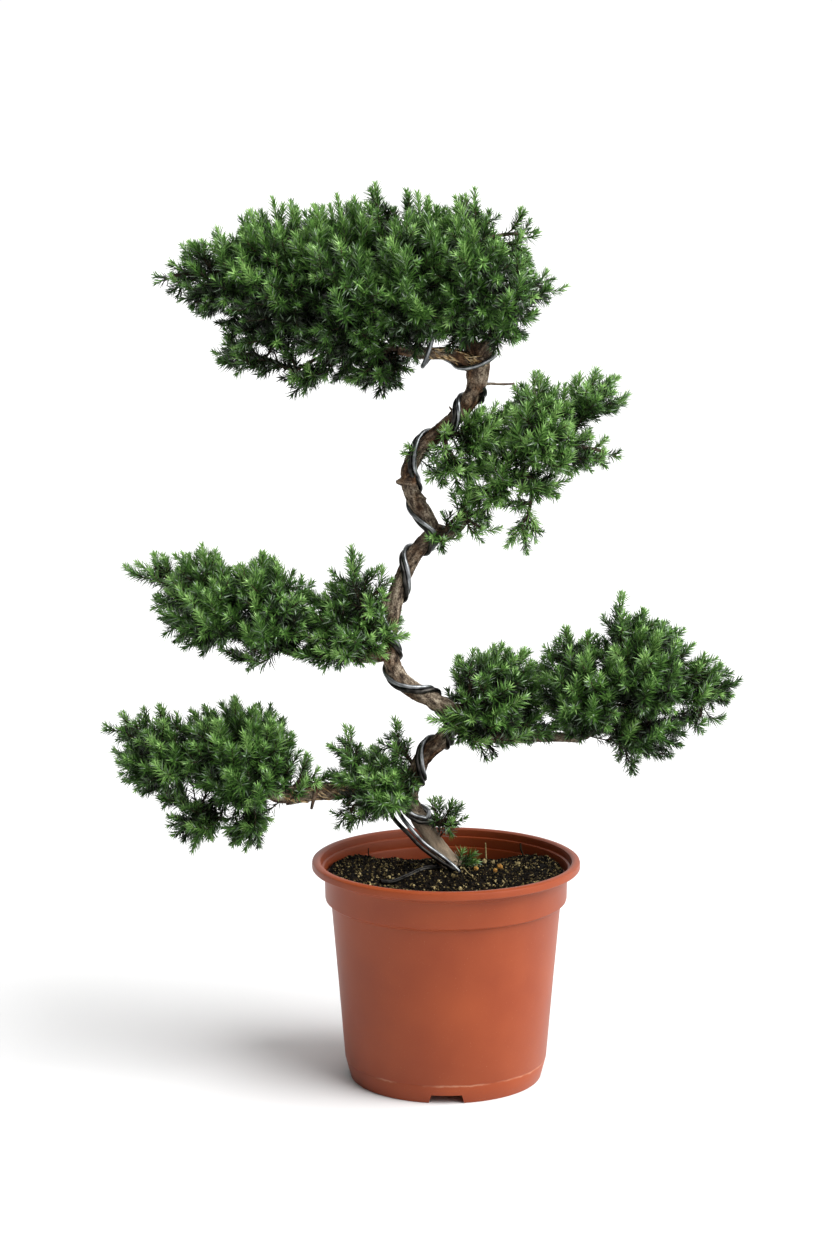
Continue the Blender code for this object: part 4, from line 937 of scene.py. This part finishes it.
def notchCutter(turn):
    notch = pot["notch"]
    half = notch["height"] / 2 * mm
    bpy.ops.mesh.primitive_cube_add(size=1, location=(notch["away"] * mm, 0, half))
    cutter = bpy.context.object
    cutter.dimensions = (notch["deep"] * mm, notch["bottom"] * mm, 2 * half)
    bpy.ops.object.transform_apply(location=True, scale=True)
    for vert in cutter.data.vertices:
        if vert.co.z > half:
            vert.co.y *= notch["top"] / notch["bottom"]
        else:
            vert.co.z -= 2 * mm
    cutter.rotation_euler.z = turn
    bpy.ops.object.transform_apply(rotation=True)
    return cutter


def finishPot():
    piece = makePot()
    for quarter in range(4):
        cutFrom(piece, notchCutter(quarter * math.pi / 2))
    drain = pot["drain"]
    for k in range(drain["count"]):
        turn = math.pi / 4 + math.tau * k / drain["count"]
        at = Vector((math.cos(turn) * drain["away"], math.sin(turn) * drain["away"], 6.8)) * mm
        bpy.ops.mesh.primitive_cylinder_add(vertices=24, radius=drain["radius"] * mm,
                                            depth=drain["depth"] * 2 * mm, location=at)
        cutFrom(piece, bpy.context.object)
    makeActive(piece)
    bpy.ops.object.shade_smooth_by_angle(angle=math.radians(32))
    piece.data.materials.append(makePotMaterial())
    settle(piece, "pot", "pot")


finishPot()
print("pot is made")


# Compost: a crumbly mound, crumbs in several browns, chips, pebbles and litter

compostColours = {
    "black": ("#14100b", "#070504"), "brown": ("#33291b", "#1c160e"), "tan": ("#6f6240", "#463c24"),
    "grit": ("#b9a877", "#827352"), "orange": ("#c2954e", "#90622f"),
}
# damp bark compost: nearly black fibres, with tan and yellow bits where it has dried
compostFinishes = {
    kind: mottledMaterial("bark_compost_" + kind, 0.95, 0.12, 1.6, 4, ((0.38, dark), (0.64, light)),
                          (0.6, 0.5))
    for kind, (light, dark) in compostColours.items()
}


def soilSurface(x, y):  # mm
    lumps = noise.noise(Vector((x / 14, y / 14, 0.5))) * soil["lump"]
    grain = noise.noise(Vector((x / 3.2, y / 3.2, 2.5))) * soil["grain"]
    return moundHeight(x, y) + lumps + grain


def makeCompost():
    circle = [(math.cos(a), math.sin(a)) for a in anglesRound(soil["around"])]
    points = [(60 * x, 60 * y, soil["edge"] - soil["depth"]) for x, y in circle]
    for radius in np.linspace(soil["radius"], 0, soil["rings"], endpoint=False):
        points += [(x * radius, y * radius, soilSurface(x * radius, y * radius)) for x, y in circle]
    faces = tubeFaces(soil["rings"] + 1, soil["around"])
    piece = meshFromArrays("compost_bed", np.array(points) * mm, faces, compostFinishes["black"], smooth=True)
    settle(piece, "compost", "compost")


def crumbPiece(name, places, sizes, flatness, rng, kind):
    bpy.ops.mesh.primitive_ico_sphere_add(subdivisions=1, radius=1)  # for its corners and faces
    ball = bpy.context.object
    shape = np.array([v.co for v in ball.data.vertices])
    faces = np.array([p.vertices for p in ball.data.polygons])
    bpy.data.objects.remove(ball)
    spin = np.array([Quaternion(turn).normalized().to_matrix() for turn in rng.normal(size=(len(places), 4))])
    lumpy = shape[None] * rng.uniform(0.7, 1.25, (len(places), len(shape), 1))
    lumpy = lumpy * rng.uniform(*flatness, (len(places), 1, 3)) * sizes[:, None, None]
    points = np.einsum("nij,nkj->nki", spin, lumpy) + places[:, None]
    faces = repeatFaces(faces, len(places), len(shape))
    piece = meshFromArrays(name, points.reshape(-1, 3) * mm, faces, compostFinishes[kind])
    settle(piece, "compost", "compost")


def scatter(rng, sizes):
    radius = soil["radius"] * np.sqrt(rng.uniform(0, 0.985, len(sizes)))
    angle = rng.uniform(0, math.tau, len(sizes))
    x, y = radius * np.cos(angle), radius * np.sin(angle)
    z = np.array([soilSurface(a, b) for a, b in zip(x, y)])
    return np.stack([x, y, z + sizes * rng.uniform(-0.1, 0.5, len(sizes))], axis=1)


def makeCrumbs():
    rng = np.random.default_rng(8)
    for label, (total, span, power, flatness, shares) in soil["loose"].items():
        for kind, share in shares.items():
            sizes = rng.uniform(*span, round(total * share)) ** power
            crumbPiece(f"compost_{label}_{kind}", scatter(rng, sizes), sizes, flatness, rng, kind)
    for kind, rows in soil["pebbles"].items():
        spots = np.array([(x, y, soilSurface(x, y) + r * 0.6) for x, y, r in rows])
        crumbPiece("pebbles_" + kind, spots, np.array(rows)[:, 2], (0.85, 1.05), rng, kind)
    for shade, (kind, rows) in soil["litter"].items():
        rows = np.array(rows)
        paths = np.linspace(rows[:, :3], rows[:, 3:6], 4, axis=1) * mm
        paths[:, 1:3] += rng.normal(0, 0.5 * mm, (len(rows), 2, 3))
        radii = np.outer(rows[:, 6], (1, 0.9, 0.8, 0.6)) * mm
        piece = meshFromArrays("litter_" + shade, *manyTubes(paths, radii, 6), compostFinishes[kind])
        settle(piece, "compost", "compost")


makeCompost()
makeCrumbs()
print("compost is filled in")


# Floor, light and camera

studio = {
    "brightSide": (0.8, 0.36, 0.48),
    "leftFall": (-0.22, 0.2, 0.02, 1.03),  # from where to where on that side, from how bright to how bright
    "horizon": (0.02, 0.045, 1.03, 0),  # the same in height, for a white band all round
    "keyFrom": (0.9, -0.46, 1.04),
    "keyPower": 4.8,
    "keyAngle": 54,
    "paper": "#dedede",
}


def makeStage():  # a paper floor and the key light
    bpy.ops.mesh.primitive_plane_add(size=60)
    floor = bpy.context.object
    floor.name = "studio_floor"
    paper = startMaterial("matt_white_paper", 0.9, 0.1, Base_Color=hexToLinear(studio["paper"]))
    floor.data.materials.append(paper[0])
    lamp = bpy.data.lights.new("key_light", "SUN")
    lamp.energy = studio["keyPower"]
    lamp.angle = math.radians(studio["keyAngle"])
    addObject("key_light", lamp).rotation_euler = Vector(studio["keyFrom"]).to_track_quat("Z", "Y").to_euler()


def makeSky():  # a white studio with a dark left side, so that the pot and the pads turn darker to the left
    world = bpy.data.worlds.new("studio")
    bpy.context.scene.world = world
    world.use_nodes = True
    tree = world.node_tree
    way = addNode(tree, "TexCoord", "Generated")
    across = addNode(tree, "VectorMath", "Value", way, studio["brightSide"], operation="DOT_PRODUCT")
    side = addRange(tree, across, *studio["leftFall"])
    low = addRange(tree, addNode(tree, "SeparateXYZ", "Z", way), *studio["horizon"])
    sky = tree.nodes["Background"]
    sky.inputs["Color"].default_value = (1, 1, 1, 1)
    tree.links.new(addMath(tree, "MAXIMUM", side, low), sky.inputs["Strength"])


def addCamera():
    lens = bpy.data.cameras.new("camera")
    lens.lens = 84.8
    camera = addObject("camera", lens)
    camera.location = (-0.017, -1.62, 0.542)
    camera.rotation_euler = (math.radians(90 - 9.83), 0, 0)
    bpy.context.scene.camera = camera


makeStage()
makeSky()
addCamera()
